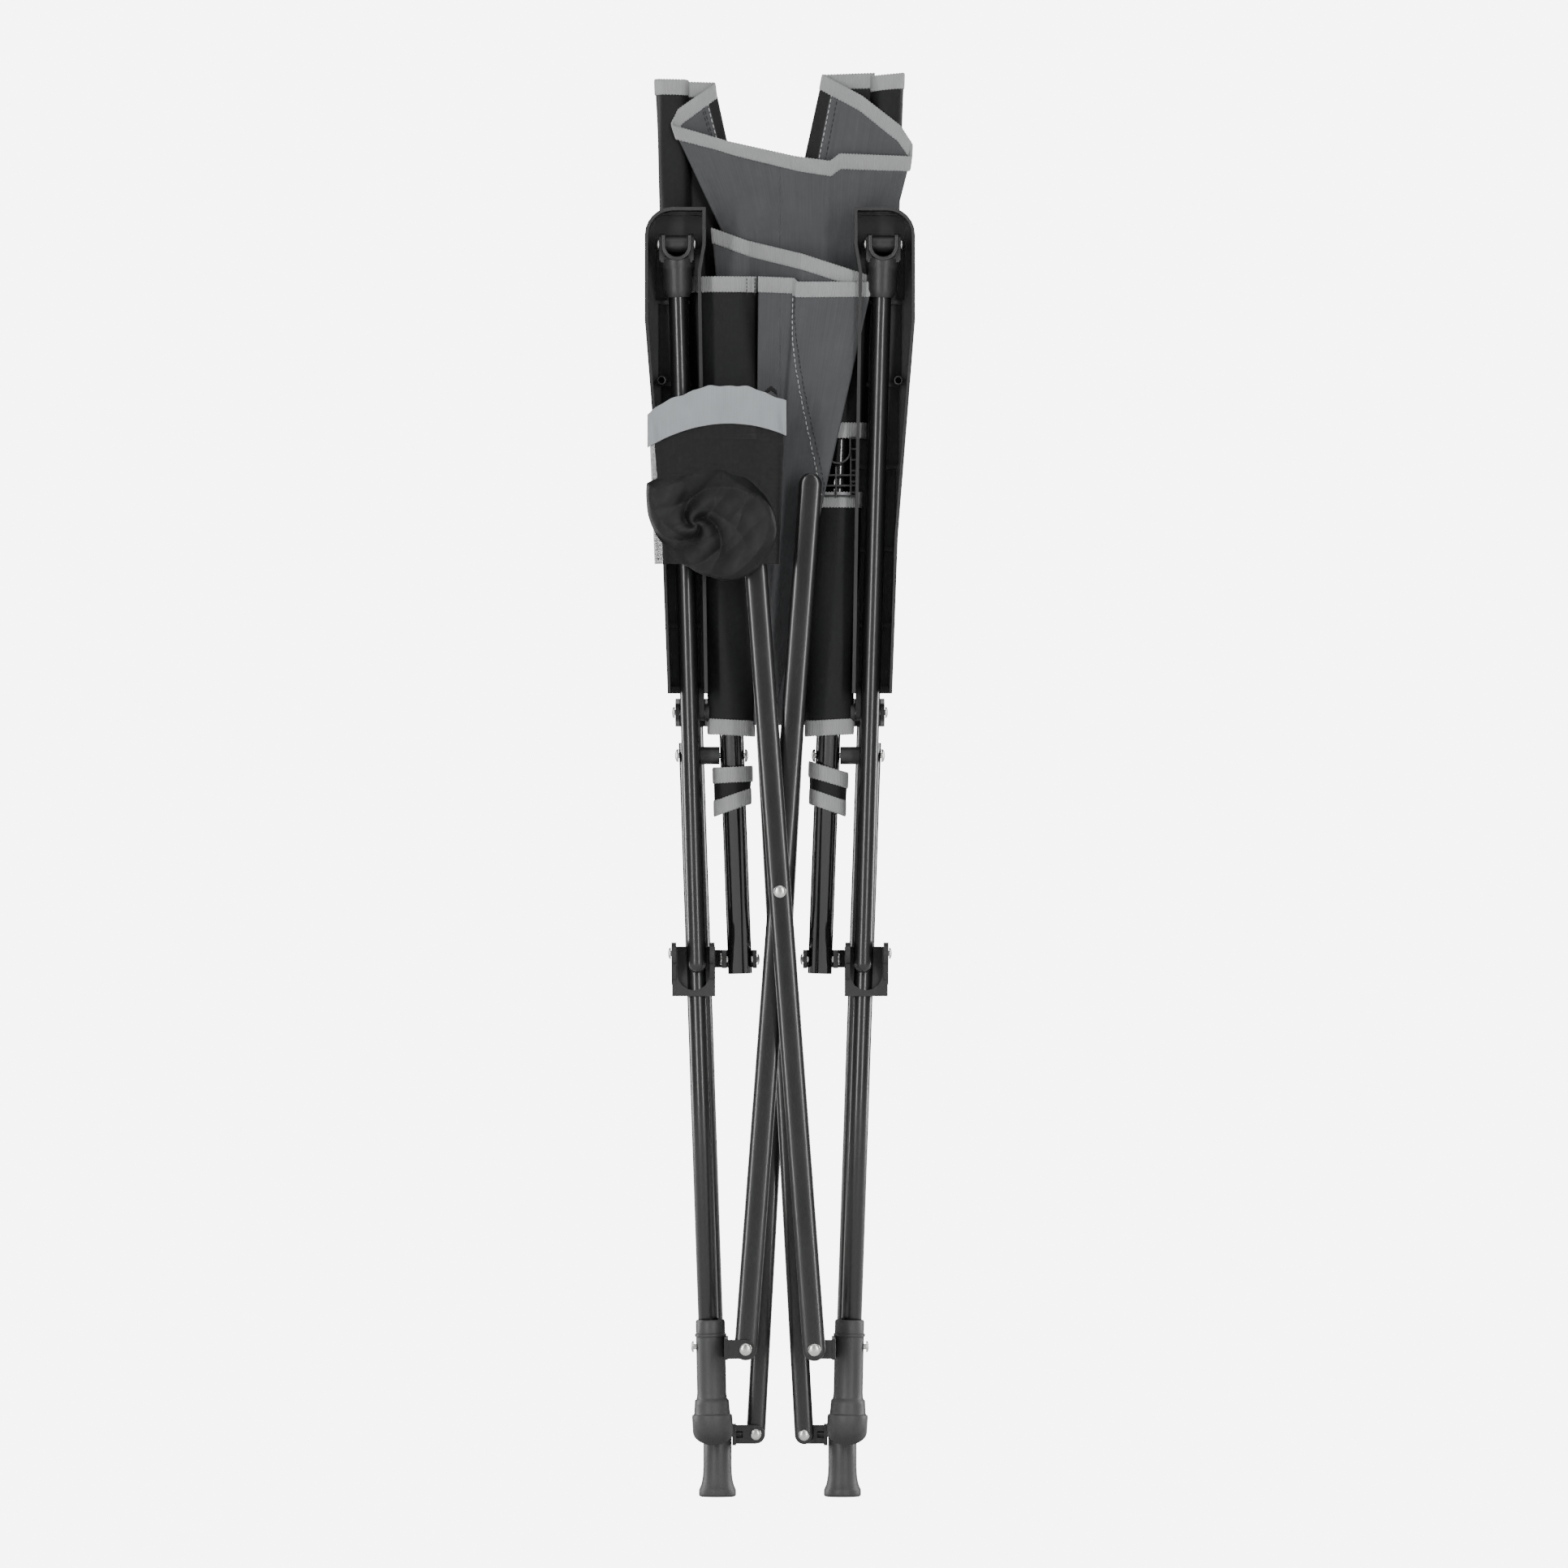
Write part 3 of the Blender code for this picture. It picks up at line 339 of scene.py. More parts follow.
def pin(name, node, axis, head_radius, head, heads=(True, True)):
    """A shank along X or Y through the middle of the node's box, with a dome at each end that has a head."""
    low, high = (np.array(corner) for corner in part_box(node))
    middle = (low + high) / 2
    start, end = middle.copy(), middle.copy()
    start[axis], end[axis] = low[axis], high[axis]
    length = high[axis] - low[axis]
    near = [(r, head - h) for r, h in head_profile(head_radius, head)] if heads[0] else [(0, 0)]
    far = [(r, length - head + h) for r, h in reversed(head_profile(head_radius, head))]
    far = far if heads[1] else [(0, length)]
    shank = [(SHANK_RADIUS, head if heads[0] else 0), (SHANK_RADIUS, length - head if heads[1] else length)]
    return turned(name, start, end, near + shank + far, 40)


X_AXIS, Y_AXIS = 0, 1
SCREW_HEAD = (0.0045, 0.0022)
RIVET_HEAD = (0.0050, 0.0026)
for word, side in SIDES.items():
    outer_only = (False, True) if side > 0 else (True, False)
    both = (True, True)
    fasteners = [("rear_foot_screw", X_AXIS, SCREW_HEAD, outer_only)]
    fasteners += [("front_foot_screw", X_AXIS, SCREW_HEAD, both)]
    fasteners += [("slider_screw", X_AXIS, SCREW_HEAD, outer_only), ("knuckle_bolt", X_AXIS, SCREW_HEAD, both)]
    fasteners += [("arm_hinge_bolt", X_AXIS, SCREW_HEAD, both)]
    fasteners += [("rail_pivot_bolt", X_AXIS, (0.0045, 0.0020), both)]
    fasteners += [("leg_pivot_bolt", X_AXIS, (0.0052, 0.0028), both)]
    fasteners += [("front_x_rivet", Y_AXIS, RIVET_HEAD, both), ("rear_x_rivet", Y_AXIS, SCREW_HEAD, both)]
    for kind, axis, head, heads in fasteners:
        fastener = pin(f"{word}_{kind}_head", f"{word}_{kind}", axis, *head, heads)
        stands_for(fastener, f"{word}_{kind}", zinc)
rivet = pin("front_crossing_rivet_head", "front_crossing_rivet", Y_AXIS, *RIVET_HEAD, (True, False))
stands_for(rivet, "front_crossing_rivet", zinc)
rivet = pin("rear_crossing_rivet_head", "rear_crossing_rivet", Y_AXIS, *SCREW_HEAD, (False, True))
stands_for(rivet, "rear_crossing_rivet", zinc)

# ---------------------------------------------------------------- brackets of the scissor bars
# Pressed steel angles, 3 mm thick, in the frame's charcoal paint. One leg lies against the foot's sleeve under its
# screw, and the bar turns on a rivet through the other.
def eased(name, node, width):
    """A copy of a node's mesh with its loose triangles joined, its flat faces made whole, and its corners rounded
    by a narrow bevel whose normals keep the flats flat."""
    mesh = frame["nodes"][node].data.copy()
    shell = bmesh.new()
    shell.from_mesh(mesh)
    bmesh.ops.remove_doubles(shell, verts=shell.verts, dist=2e-5)
    bmesh.ops.dissolve_limit(shell, angle_limit=np.radians(1.5), verts=shell.verts, edges=shell.edges)
    shell.to_mesh(mesh)
    shell.free()
    mesh.shade_smooth()
    piece = bpy.data.objects.new(name, mesh)
    bpy.context.scene.collection.objects.link(piece)
    edges = piece.modifiers.new("eased_edges", "BEVEL")
    edges.width = width
    edges.segments = 3
    edges.limit_method = "ANGLE"
    edges.angle_limit = np.radians(35)
    flats = piece.modifiers.new("flat_faces", "WEIGHTED_NORMAL")
    flats.keep_sharp = True
    return piece


for word in SIDES:
    for kind in ("front", "rear"):
        node = f"{word}_{kind}_x_bracket"
        stands_for(eased(node + "_plate", node, 0.0006), node, tube_paint)

# ---------------------------------------------------------------- knuckles, sliders, hinges, clips and hubs
# Black glass-filled nylon, injection moulded with a satin skin: the parts that join the tubes and let them turn
# or slide on each other.
NYLON_COLOUR = (0.0175, 0.0175, 0.0180, 1)
nylon = hard_finish("black_nylon", NYLON_COLOUR, 0.44, fineness=1800.0, relief=1.5e-5, spread=0.10)
for word in SIDES:
    for kind in ("arm_knuckle", "leg_slider", "arm_hinge", "rail_clevis", "rear_hub", "leg_spacer"):
        node = f"{word}_{kind}"
        stands_for(eased(node + "_moulding", node, 0.0005), node, nylon)


def ribs(name, paths, wide, front, back):
    """Moulded ribs along paths in the x-z plane, as one piece. Each section is |a/half width|^5 + |b/half depth|^5
    = 1, and each end closes on its middle."""
    angle = np.linspace(0, 2 * np.pi, 25)
    a = np.sign(np.cos(angle)) * np.abs(np.cos(angle)) ** 0.4 * wide / 2
    b = np.sign(np.sin(angle)) * np.abs(np.sin(angle)) ** 0.4 * (back - front) / 2
    whole = bmesh.new()
    for path in paths:
        path = np.array(path, float)
        along = unit(np.gradient(path, axis=0))
        across = np.stack([along[:, 1], -along[:, 0]], axis=-1)
        flat = path[:, None] + a[None, :, None] * across[:, None]
        depth = np.broadcast_to((front + back) / 2 + b, flat.shape[:2])
        points = np.stack([flat[..., 0], depth, flat[..., 1]], axis=-1)
        caps = points[[0, -1], :-1].mean(axis=1, keepdims=True).repeat(len(angle), 1)
        points = np.concatenate([caps[:1], points, caps[1:]])
        rib = surface("rib", points, points[..., [0, 2]])
        whole.from_mesh(rib.data)
        bpy.data.objects.remove(rib)
    mesh = bpy.data.meshes.new(name)
    whole.to_mesh(mesh)
    whole.free()
    mesh.shade_smooth()
    mesh.set_sharp_from_angle(angle=np.radians(50))
    piece = bpy.data.objects.new(name, mesh)
    bpy.context.scene.collection.objects.link(piece)
    piece.data.materials.append(nylon)
    return piece


def half_round(x, z, radius, reach):
    """A U open at its top: down from reach above the centre, round a half circle, and up again."""
    turn = np.linspace(np.pi, 2 * np.pi, 25)
    curve = np.stack([x + radius * np.cos(turn), z + radius * np.sin(turn)], axis=-1)
    return np.concatenate([[(x - radius, z + reach)], curve, [(x + radius, z + reach)]])


CLIP_TEETH = 6
RIB = 0.0017
for word, side in SIDES.items():
    low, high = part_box(f"{word}_rail_clip")
    inner, outer = sorted((low[0], high[0]), key=abs)
    middle, foot, top = (inner + outer) / 2, low[2], high[2]
    rungs = [[(inner, foot + rise), (outer, foot + rise)] for rise in (0.0012, 0.0094, 0.0176)]
    posts = [[(x, foot), (x, foot + 0.024)] for x in (inner + side * 0.0010, middle - side * 0.0015)]
    posts += [[(outer - side * 0.0032, foot), (outer - side * 0.0032, top)]]
    root, tip = outer - side * 0.003, outer + side * 0.0012
    teeth = [[(root, z), (tip, z)] for z in np.linspace(foot + 0.004, top, CLIP_TEETH)]
    grid = ribs(f"{word}_rail_clip_grid", rungs + posts + teeth, RIB, low[1] - 0.0012, low[1] + 0.0042)
    stands_for(grid, f"{word}_rail_clip", nylon)
    saddle = [half_round(middle, top - 0.0100, 0.0098, 0.0094)]
    saddle = ribs(f"{word}_rail_clip_saddle", saddle, RIB, low[1] - 0.0022, low[1] + 0.0035)
    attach(saddle, f"{word}_rail")

    low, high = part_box(f"{word}_arm_knuckle")
    middle = (low[0] + high[0]) / 2
    fork = ribs(f"{word}_arm_knuckle_fork", [half_round(middle, high[2] - 0.0095, 0.0103, 0.0080)], 0.0034,
                low[1] - 0.0006, low[1] + 0.0080)
    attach(fork, next(name for name, nodes in bodies.items() if f"{word}_arm_knuckle" in nodes))

# ---------------------------------------------------------------- armrests
# Long moulded channels, wide at the hand and slim at the hinge, whose open undersides face forward on the folded
# chair. Cross ribs stiffen the floor inside.
for word, side in SIDES.items():
    node = f"{word}_armrest"
    stands_for(eased(node + "_moulding", node, 0.0010), node, nylon)
    turn = np.linspace(0, 2 * np.pi, 33)
    boss = [np.stack([side * 0.0934 + 0.0030 * np.cos(turn), 0.883 + 0.0030 * np.sin(turn)], axis=-1)]
    boss = ribs(f"{word}_armrest_boss", boss, 0.0014, 0.0040, 0.0200)
    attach(boss, next(name for name, nodes in bodies.items() if node in nodes))

# ---------------------------------------------------------------- back fabric
# Woven polyester between the posts: a grey panel with a black strip sewn to each side, and a tape folded over its
# top edge. Folded, it doubles back on itself twice, so its edge makes a zigzag from post to post.
CLOTH_THICKNESS = 0.0007
TAPE_WIDTH = 0.0125
TAPE_HALF = 0.0012
THREADS_PER_METRE = 1400.0
GREY_COLOUR = (0.064, 0.066, 0.070, 1)
BLACK_COLOUR = (0.0085, 0.0085, 0.0087, 1)
SLEEVE_GAP = 0.0100
BACK_LOW = 0.790
BLACK_STRIP = 0.0095


def weave_group():
    """Plain weave: the relief is the larger of two sets of rounded threads, one along each cloth axis, and the
    tone mixes slow noise with faint streaks along the warp. Coordinates are metres on the cloth."""
    group = bpy.data.node_groups.new("plain_weave", "ShaderNodeTree")
    for name, kind in (("Cloth place", "Vector"), ("Threads per metre", "Float")):
        group.interface.new_socket(name=name, in_out="INPUT", socket_type="NodeSocket" + kind)
    for name in ("Relief", "Tone"):
        group.interface.new_socket(name=name, in_out="OUTPUT", socket_type="NodeSocketFloat")
    start, end = group.nodes.new("NodeGroupInput"), group.nodes.new("NodeGroupOutput")
    parts = group.nodes.new("ShaderNodeSeparateXYZ")
    group.links.new(start.outputs["Cloth place"], parts.inputs["Vector"])
    threads = []
    for axis in ("X", "Y"):
        turns = group.nodes.new("ShaderNodeMath")
        turns.operation = "MULTIPLY"
        group.links.new(parts.outputs[axis], turns.inputs[0])
        group.links.new(start.outputs["Threads per metre"], turns.inputs[1])
        wave = group.nodes.new("ShaderNodeMath")
        wave.operation = "PINGPONG"
        wave.inputs[1].default_value = 0.5
        group.links.new(turns.outputs["Value"], wave.inputs[0])
        threads.append(wave)
    relief = group.nodes.new("ShaderNodeMath")
    relief.operation = "MAXIMUM"
    for k, wave in enumerate(threads):
        group.links.new(wave.outputs["Value"], relief.inputs[k])
    group.links.new(relief.outputs["Value"], end.inputs["Relief"])
    stretch = group.nodes.new("ShaderNodeMapping")
    stretch.inputs["Scale"].default_value = (900.0, 14.0, 1.0)
    group.links.new(start.outputs["Cloth place"], stretch.inputs["Vector"])
    streaks = group.nodes.new("ShaderNodeTexNoise")
    streaks.inputs["Scale"].default_value = 1.0
    group.links.new(stretch.outputs["Vector"], streaks.inputs["Vector"])
    patches = group.nodes.new("ShaderNodeTexNoise")
    patches.inputs["Scale"].default_value = 30.0
    patches.inputs["Detail"].default_value = 4.0
    group.links.new(start.outputs["Cloth place"], patches.inputs["Vector"])
    tone = group.nodes.new("ShaderNodeMix")
    tone.inputs["Factor"].default_value = 0.45
    group.links.new(streaks.outputs["Fac"], tone.inputs["A"])
    group.links.new(patches.outputs["Fac"], tone.inputs["B"])
    group.links.new(tone.outputs["Result"], end.inputs["Tone"])
    return group


plain_weave = weave_group()


def cloth_finish(name, colour, roughness, sheen, relief=0.00012, threads=THREADS_PER_METRE):
    """Woven cloth: colour drifts with the weave's tone, and the threads stand out as a bump."""
    made = bpy.data.materials.new(name)
    made.use_nodes = True
    tree = made.node_tree
    shader = tree.nodes["Principled BSDF"]
    shader.inputs["Roughness"].default_value = roughness
    shader.inputs["Sheen Weight"].default_value = sheen
    shader.inputs["Sheen Roughness"].default_value = 0.4
    shader.inputs["Specular IOR Level"].default_value = 0.22
    place = tree.nodes.new("ShaderNodeUVMap")
    place.uv_map = "UVMap"
    weave = tree.nodes.new("ShaderNodeGroup")
    weave.node_tree = plain_weave
    weave.inputs["Threads per metre"].default_value = threads
    tree.links.new(place.outputs["UV"], weave.inputs["Cloth place"])
    bump = tree.nodes.new("ShaderNodeBump")
    bump.inputs["Distance"].default_value = relief
    tree.links.new(weave.outputs["Relief"], bump.inputs["Height"])
    tree.links.new(bump.outputs["Normal"], shader.inputs["Normal"])
    tint = tree.nodes.new("ShaderNodeMix")
    tint.data_type = "RGBA"
    tint.inputs["A"].default_value = tuple(0.66 * c for c in colour[:3]) + (1,)
    tint.inputs["B"].default_value = tuple(1.34 * c for c in colour[:3]) + (1,)
    tree.links.new(weave.outputs["Tone"], tint.inputs["Factor"])
    tree.links.new(tint.outputs["Result"], shader.inputs["Base Color"])
    return made


grey_cloth = cloth_finish("grey_polyester", GREY_COLOUR, 0.62, 0.06)
black_cloth = cloth_finish("black_polyester", BLACK_COLOUR, 0.58, 0.02)


def folded_cloth(rows, across=420, down=90, softness=0.0035):
    """Cloth through rows of corner points. Along a row the points run straight from corner to corner and a
    running mean, softness long, rounds the folds; down the cloth they run straight from row to row, by height.
    Returns the grid of points and their place on the flat cloth in metres."""
    rows = np.array(rows, float)
    steps = np.linalg.norm(np.diff(rows[0], axis=0), axis=1)
    corners = np.concatenate([[0], np.cumsum(steps)])
    reach = np.linspace(0, corners[-1], across)
    width = max(3, int(softness / (reach[1] - reach[0])) | 1)
    pad = width // 2
    window = np.ones(width) / width
    lines = np.empty((len(rows), across, 3))
    for k, row in enumerate(rows):
        for axis in range(3):
            line = np.interp(reach, corners, row[:, axis])
            ends = 2 * line[0] - line[pad:0:-1], 2 * line[-1] - line[-2 : -pad - 2 : -1]
            lines[k, :, axis] = np.convolve(np.concatenate([ends[0], line, ends[1]]), window, mode="valid")
    places = (rows[0, :, 2].mean() - rows[:, :, 2].mean(axis=1)) / (rows[0, :, 2].mean() - rows[-1, :, 2].mean())
    fall = np.linspace(0, 1, down)
    row = np.interp(fall, places, np.arange(len(rows)))
    above = np.minimum(row.astype(int), len(rows) - 2)
    mix = (row - above)[:, None, None]
    points = lines[above] * (1 - mix) + lines[above + 1] * mix
    drop = fall[:, None] * (lines[0, :, 2] - lines[-1, :, 2])[None]
    uv = np.stack(np.broadcast_arrays(reach[None], drop), axis=-1)
    return points, uv


def creased(points, uv, depth, seed):
    """Slack cloth: each point moves along y by depth x a sum of five sine waves of set length and slant, which
    fades to nothing at the top edge."""
    draw = np.random.default_rng(seed)
    waves = np.zeros(points.shape[:2])
    for length in (0.016, 0.023, 0.034, 0.048, 0.075):
        slant, phase = draw.uniform(0.1, 0.9), draw.uniform(0, 2 * np.pi)
        waves += np.sin(2 * np.pi * (uv[..., 0] + slant * uv[..., 1]) / length + phase) * (length / 0.075) ** 0.6
    fade = np.clip(uv[..., 1] / 0.03, 0, 1)
    moved = points.copy()
    moved[..., 1] += depth * waves * fade
    return moved


def thickened(piece, thickness):
    wall = piece.modifiers.new("cloth_thickness", "SOLIDIFY")
    wall.thickness = thickness
    wall.offset = 0


def half_of(piece, side, name):
    """The part of a piece on one side of the chair's middle, cut along the plane x = 0."""
    mesh = piece.data.copy()
    shell = bmesh.new()
    shell.from_mesh(mesh)
    everything = list(shell.verts) + list(shell.edges) + list(shell.faces)
    bmesh.ops.bisect_plane(shell, geom=everything, plane_co=(0, 0, 0), plane_no=(-side, 0, 0), clear_outer=True)
    shell.to_mesh(mesh)
    shell.free()
    made = bpy.data.objects.new(name, mesh)
    bpy.context.scene.collection.objects.link(made)
    return made


def cloth_sides(piece, thickness=CLOTH_THICKNESS):
    """Cuts a cloth piece at the middle into two halves, and thickens each when a thickness is given."""
    halves = {}
    for word, side in SIDES.items():
        made = half_of(piece, side, f"{piece.name}_{word}")
        if thickness:
            thickened(made, thickness)
        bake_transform(made)
        halves[word] = made
    bpy.data.objects.remove(piece)
    return halves


def bound_edge(name, edge, inward, width, half, closed=False):
    """A tape folded over an edge: a bar with a flat section, |a|^(1/0.3) and |b|^(1/0.6) for its two half sizes,
    carried along the edge. Its width swells and shrinks a little with each rib of the tape."""
    edge, inward = np.array(edge), unit(np.array(inward))
    if closed:
        along = unit(np.roll(edge[:-1], -1, axis=0) - np.roll(edge[:-1], 1, axis=0))
        along = np.concatenate([along, along[:1]])
    else:
        along = unit(np.gradient(edge, axis=0))
    normal = unit(np.cross(along, inward))
    angle = np.linspace(0, 2 * np.pi, 17)
    c, s = np.cos(angle), np.sin(angle)
    deep, thick = np.sign(c) * np.abs(c) ** 0.3, np.sign(s) * np.abs(s) ** 0.6
    run = np.concatenate([[0], np.cumsum(np.linalg.norm(np.diff(edge, axis=0), axis=1))])
    ribbed = width / 2 + 0.00030 * np.sin(2 * np.pi * run / 0.0024)
    offset = (width / 2 - half + deep * ribbed[:, None])[..., None] * inward[:, None]
    points = edge[:, None] + offset + (thick * half)[None, :, None] * normal[:, None]
    if not closed:
        points = np.concatenate([points[:1].mean(axis=1, keepdims=True).repeat(17, 1), points,
                                 points[-1:].mean(axis=1, keepdims=True).repeat(17, 1)])
        run = np.concatenate([run[:1], run, run[-1:]])
    uv = np.stack(np.broadcast_arrays(run[:, None], (width * deep / 2)[None]), axis=-1)
    return surface(name, points, uv)


def resampled(line, step=0.0004):
    """The same line with its points a step apart."""
    line = np.array(line)
    run = np.concatenate([[0], np.cumsum(np.linalg.norm(np.diff(line, axis=0), axis=1))])
    at = np.linspace(0, run[-1], int(run[-1] / step) + 2)
    return np.stack([np.interp(at, run, line[:, k]) for k in range(line.shape[1])], axis=-1)


def tape_finish():
    """Grosgrain tape: ribs across it, 1.2 mm apart, with a bump."""
    made = cloth_finish("grey_grosgrain_tape", (0.285, 0.290, 0.292, 1), 0.75, 0.1)
    tree = made.node_tree
    place = tree.nodes["UV Map"]
    parts = tree.nodes.new("ShaderNodeSeparateXYZ")
    tree.links.new(place.outputs["UV"], parts.inputs["Vector"])
    turns = tree.nodes.new("ShaderNodeMath")
    turns.operation = "MULTIPLY"
    turns.inputs[1].default_value = 1 / 0.0012
    tree.links.new(parts.outputs["X"], turns.inputs[0])
    rib = tree.nodes.new("ShaderNodeMath")
    rib.operation = "PINGPONG"
    rib.inputs[1].default_value = 0.5
    tree.links.new(turns.outputs["Value"], rib.inputs[0])
    bump = tree.nodes["Bump"]
    bump.inputs["Distance"].default_value = 0.0004
    tree.links.new(rib.outputs["Value"], bump.inputs["Height"])
    return made


tape = tape_finish()


def spread_over(vectors, count):
    """The same run of vectors, drawn from at count even places."""
    here, there = np.linspace(0, 1, len(vectors)), np.linspace(0, 1, count)
    return np.stack([np.interp(there, here, vectors[:, k]) for k in range(3)], axis=-1)


def on_post(side, z):
    (low_x, low_z), (high_x, high_z) = centre_line("left_back_post", POST_RADIUS)
    return side * float(np.interp(z, [low_z, high_z], [low_x, high_x]))


# Each row's corners run from the left post to the right one, as x, y and z.
BACK_TOP_ROW = [(on_post(-1, 1.1) + SLEEVE_GAP, 0.0446, 1.1200)]
BACK_TOP_ROW += [(-0.0520, 0.0475, 1.1195), (-0.0520, 0.0440, 1.1185)]
BACK_TOP_ROW += [(-0.0806, 0.0340, 1.0976), (-0.0851, 0.0322, 1.0880), (-0.0851, 0.0290, 1.0850)]
BACK_TOP_ROW += [(-0.0403, 0.0280, 1.0720), (0.0125, 0.0270, 1.0601), (0.0397, 0.0280, 1.0563)]
BACK_TOP_ROW += [(0.0474, 0.0262, 1.0621), (0.1037, 0.0260, 1.0598), (0.1043, 0.0295, 1.0707)]
BACK_TOP_ROW += [(0.0954, 0.0305, 1.0842), (0.0653, 0.0340, 1.1080)]
BACK_TOP_ROW += [(0.0340, 0.0395, 1.1254), (0.0340, 0.0430, 1.1254)]
BACK_TOP_ROW += [(on_post(1, 1.1) - SLEEVE_GAP, 0.0446, 1.1270)]
BACK_WAIST_ROW = [(on_post(-1, 1.0) + SLEEVE_GAP, 0.0446, 1.000), (-0.0260, 0.0475, 1.0), (-0.0260, 0.0440, 1.0)]
BACK_WAIST_ROW += [(-0.0420, 0.0400, 1.0), (-0.0450, 0.0385, 1.0), (-0.0450, 0.0350, 1.0)]
BACK_WAIST_ROW += [(-0.0200, 0.0345, 1.0), (0.0150, 0.0340, 1.0), (0.0380, 0.0345, 1.0), (0.0450, 0.0325, 1.0)]
BACK_WAIST_ROW += [(0.0880, 0.0295, 1.0), (0.0885, 0.0322, 1.0), (0.0800, 0.0328, 1.0), (0.0500, 0.0360, 1.0)]
BACK_WAIST_ROW += [(0.0065, 0.0400, 1.0), (0.0065, 0.0435, 1.0), (on_post(1, 1.0) - SLEEVE_GAP, 0.0446, 1.0)]
BACK_LOW_ROW = [(on_post(-1, BACK_LOW) + SLEEVE_GAP, 0.0446, BACK_LOW)]
BACK_LOW_ROW += [(0.70 * x + 0.004 * np.sign(x), y + 0.001, BACK_LOW) for x, y, z in BACK_WAIST_ROW[1:-1]]
BACK_LOW_ROW += [(on_post(1, BACK_LOW) - SLEEVE_GAP, 0.0446, BACK_LOW)]

points, uv = folded_cloth([BACK_TOP_ROW, BACK_WAIST_ROW, BACK_LOW_ROW])
points = creased(points, uv, 0.00022, seed=3)
back_points = points
back_panel_cloth = surface("back_fabric_panel", points, uv, closed=False)
back_panel_cloth.data.materials.append(grey_cloth)
back_panel_cloth.data.materials.append(black_cloth)
steps = np.linalg.norm(np.diff(np.array(BACK_TOP_ROW), axis=0), axis=1)
corner_at = np.concatenate([[0], np.cumsum(steps)])
left_seam, right_seam = corner_at[2] + BLACK_STRIP, corner_at[14] - BLACK_STRIP
columns = (uv[0, 1:, 0] + uv[0, :-1, 0]) / 2
is_black = (columns < left_seam) | (columns > right_seam)
face_black = np.broadcast_to(is_black, (points.shape[0] - 1, points.shape[1] - 1)).astype(np.int32)
back_panel_cloth.data.polygons.foreach_set("material_index", face_black.ravel())
back_halves = cloth_sides(back_panel_cloth)
for piece in back_halves.values():
    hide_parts("back_fabric")

edge = resampled(back_points[0])
inward = spread_over(resampled(unit(back_points[4] - back_points[0])), len(edge))
back_tape = bound_edge("back_fabric_tape", edge, inward, TAPE_WIDTH, TAPE_HALF)
back_tape.data.materials.append(tape)
back_tapes = cloth_sides(back_tape, thickness=0)


def stitched(name, path, normal, stitch=0.0032, gap=0.0013, thread=0.00032):
    """A row of stitches: along the path, each stitch is a spindle whose radius is thread x sin(pi t)^0.4 for t
    from end to end, standing half proud of the cloth along its normal."""
    path, normal = resampled(path, 0.0002), np.array(normal, float)
    run = np.concatenate([[0], np.cumsum(np.linalg.norm(np.diff(path, axis=0), axis=1))])
    count = int(run[-1] / (stitch + gap))
    starts = np.arange(count) * (stitch + gap)
    t = np.linspace(0, 1, 6)
    at = starts[:, None] + t * stitch
    middle = np.stack([np.interp(at, run, path[:, k]) for k in range(3)], axis=-1)
    along = unit(middle[:, -1:] - middle[:, :1])
    side_way = unit(np.cross(along, normal))
    out = np.cross(side_way, along)
    radius = thread * np.sin(np.pi * np.clip(t, 0.02, 0.98)) ** 0.4
    angle = np.linspace(0, 2 * np.pi, 7)
    ring = np.cos(angle)[:, None, None, None, None] * side_way + np.sin(angle)[:, None, None, None, None] * out
    ring = ring.reshape(7, count, 1, 3)
    body = middle[None] + ring * radius[None, None, :, None] + normal * thread * 0.4
    body = body.transpose(1, 2, 0, 3)
    index = np.arange(count * 6 * 7).reshape(count, 6, 7)
    quads = np.stack([index[:, :-1, :-1], index[:, :-1, 1:], index[:, 1:, 1:], index[:, 1:, :-1]], axis=-1)
    caps = [list(row[0, :-1][::-1]) for row in index] + [list(row[-1, :-1]) for row in index]
    mesh = bpy.data.meshes.new(name)
    faces = quads.reshape(-1, 4).tolist() + [[int(v) for v in cap] for cap in caps]
    mesh.from_pydata(body.reshape(-1, 3).tolist(), [], faces)
    shell = bmesh.new()
    shell.from_mesh(mesh)
    bmesh.ops.remove_doubles(shell, verts=shell.verts, dist=1e-7)
    bmesh.ops.recalc_face_normals(shell, faces=shell.faces)
    shell.to_mesh(mesh)
    shell.free()
    mesh.shade_smooth()
    piece = bpy.data.objects.new(name, mesh)
    bpy.context.scene.collection.objects.link(piece)
    return piece


pale_thread = hard_finish("pale_thread", (0.52, 0.53, 0.52, 1), 0.7, fineness=4000.0)
black_thread = hard_finish("black_thread", (0.008, 0.008, 0.008, 1), 0.7, fineness=4000.0)


def column_line(points, uv, reach, low, high):
    """The cloth's own line at a distance across it, from the fraction low to the fraction high of its fall."""
    column = int(np.argmin(np.abs(uv[0, :, 0] - reach)))
    rows = slice(int(low * len(points)), int(high * len(points)))
    return points[rows, column]


FRONT = np.array([0, -1.0, 0])
back_stitches = {"left": [], "right": []}
for name, reach, thread in (("back_left_seam", left_seam + 0.001, pale_thread),
                            ("back_left_inner_stitch", left_seam + 0.0045, black_thread),
                            ("back_left_outer_stitch", left_seam + 0.0065, black_thread),
                            ("back_right_seam", right_seam - 0.001, pale_thread),
                            ("back_right_inner_stitch", right_seam - 0.0055, black_thread)):
    line = column_line(back_points, uv, reach, 0.03, 0.42) + FRONT * 0.0005
    row = stitched(name, line, FRONT)
    row.data.materials.append(thread)
    word = "left" if "left" in name else "right"
    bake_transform(row)
    back_stitches[word].append(row)

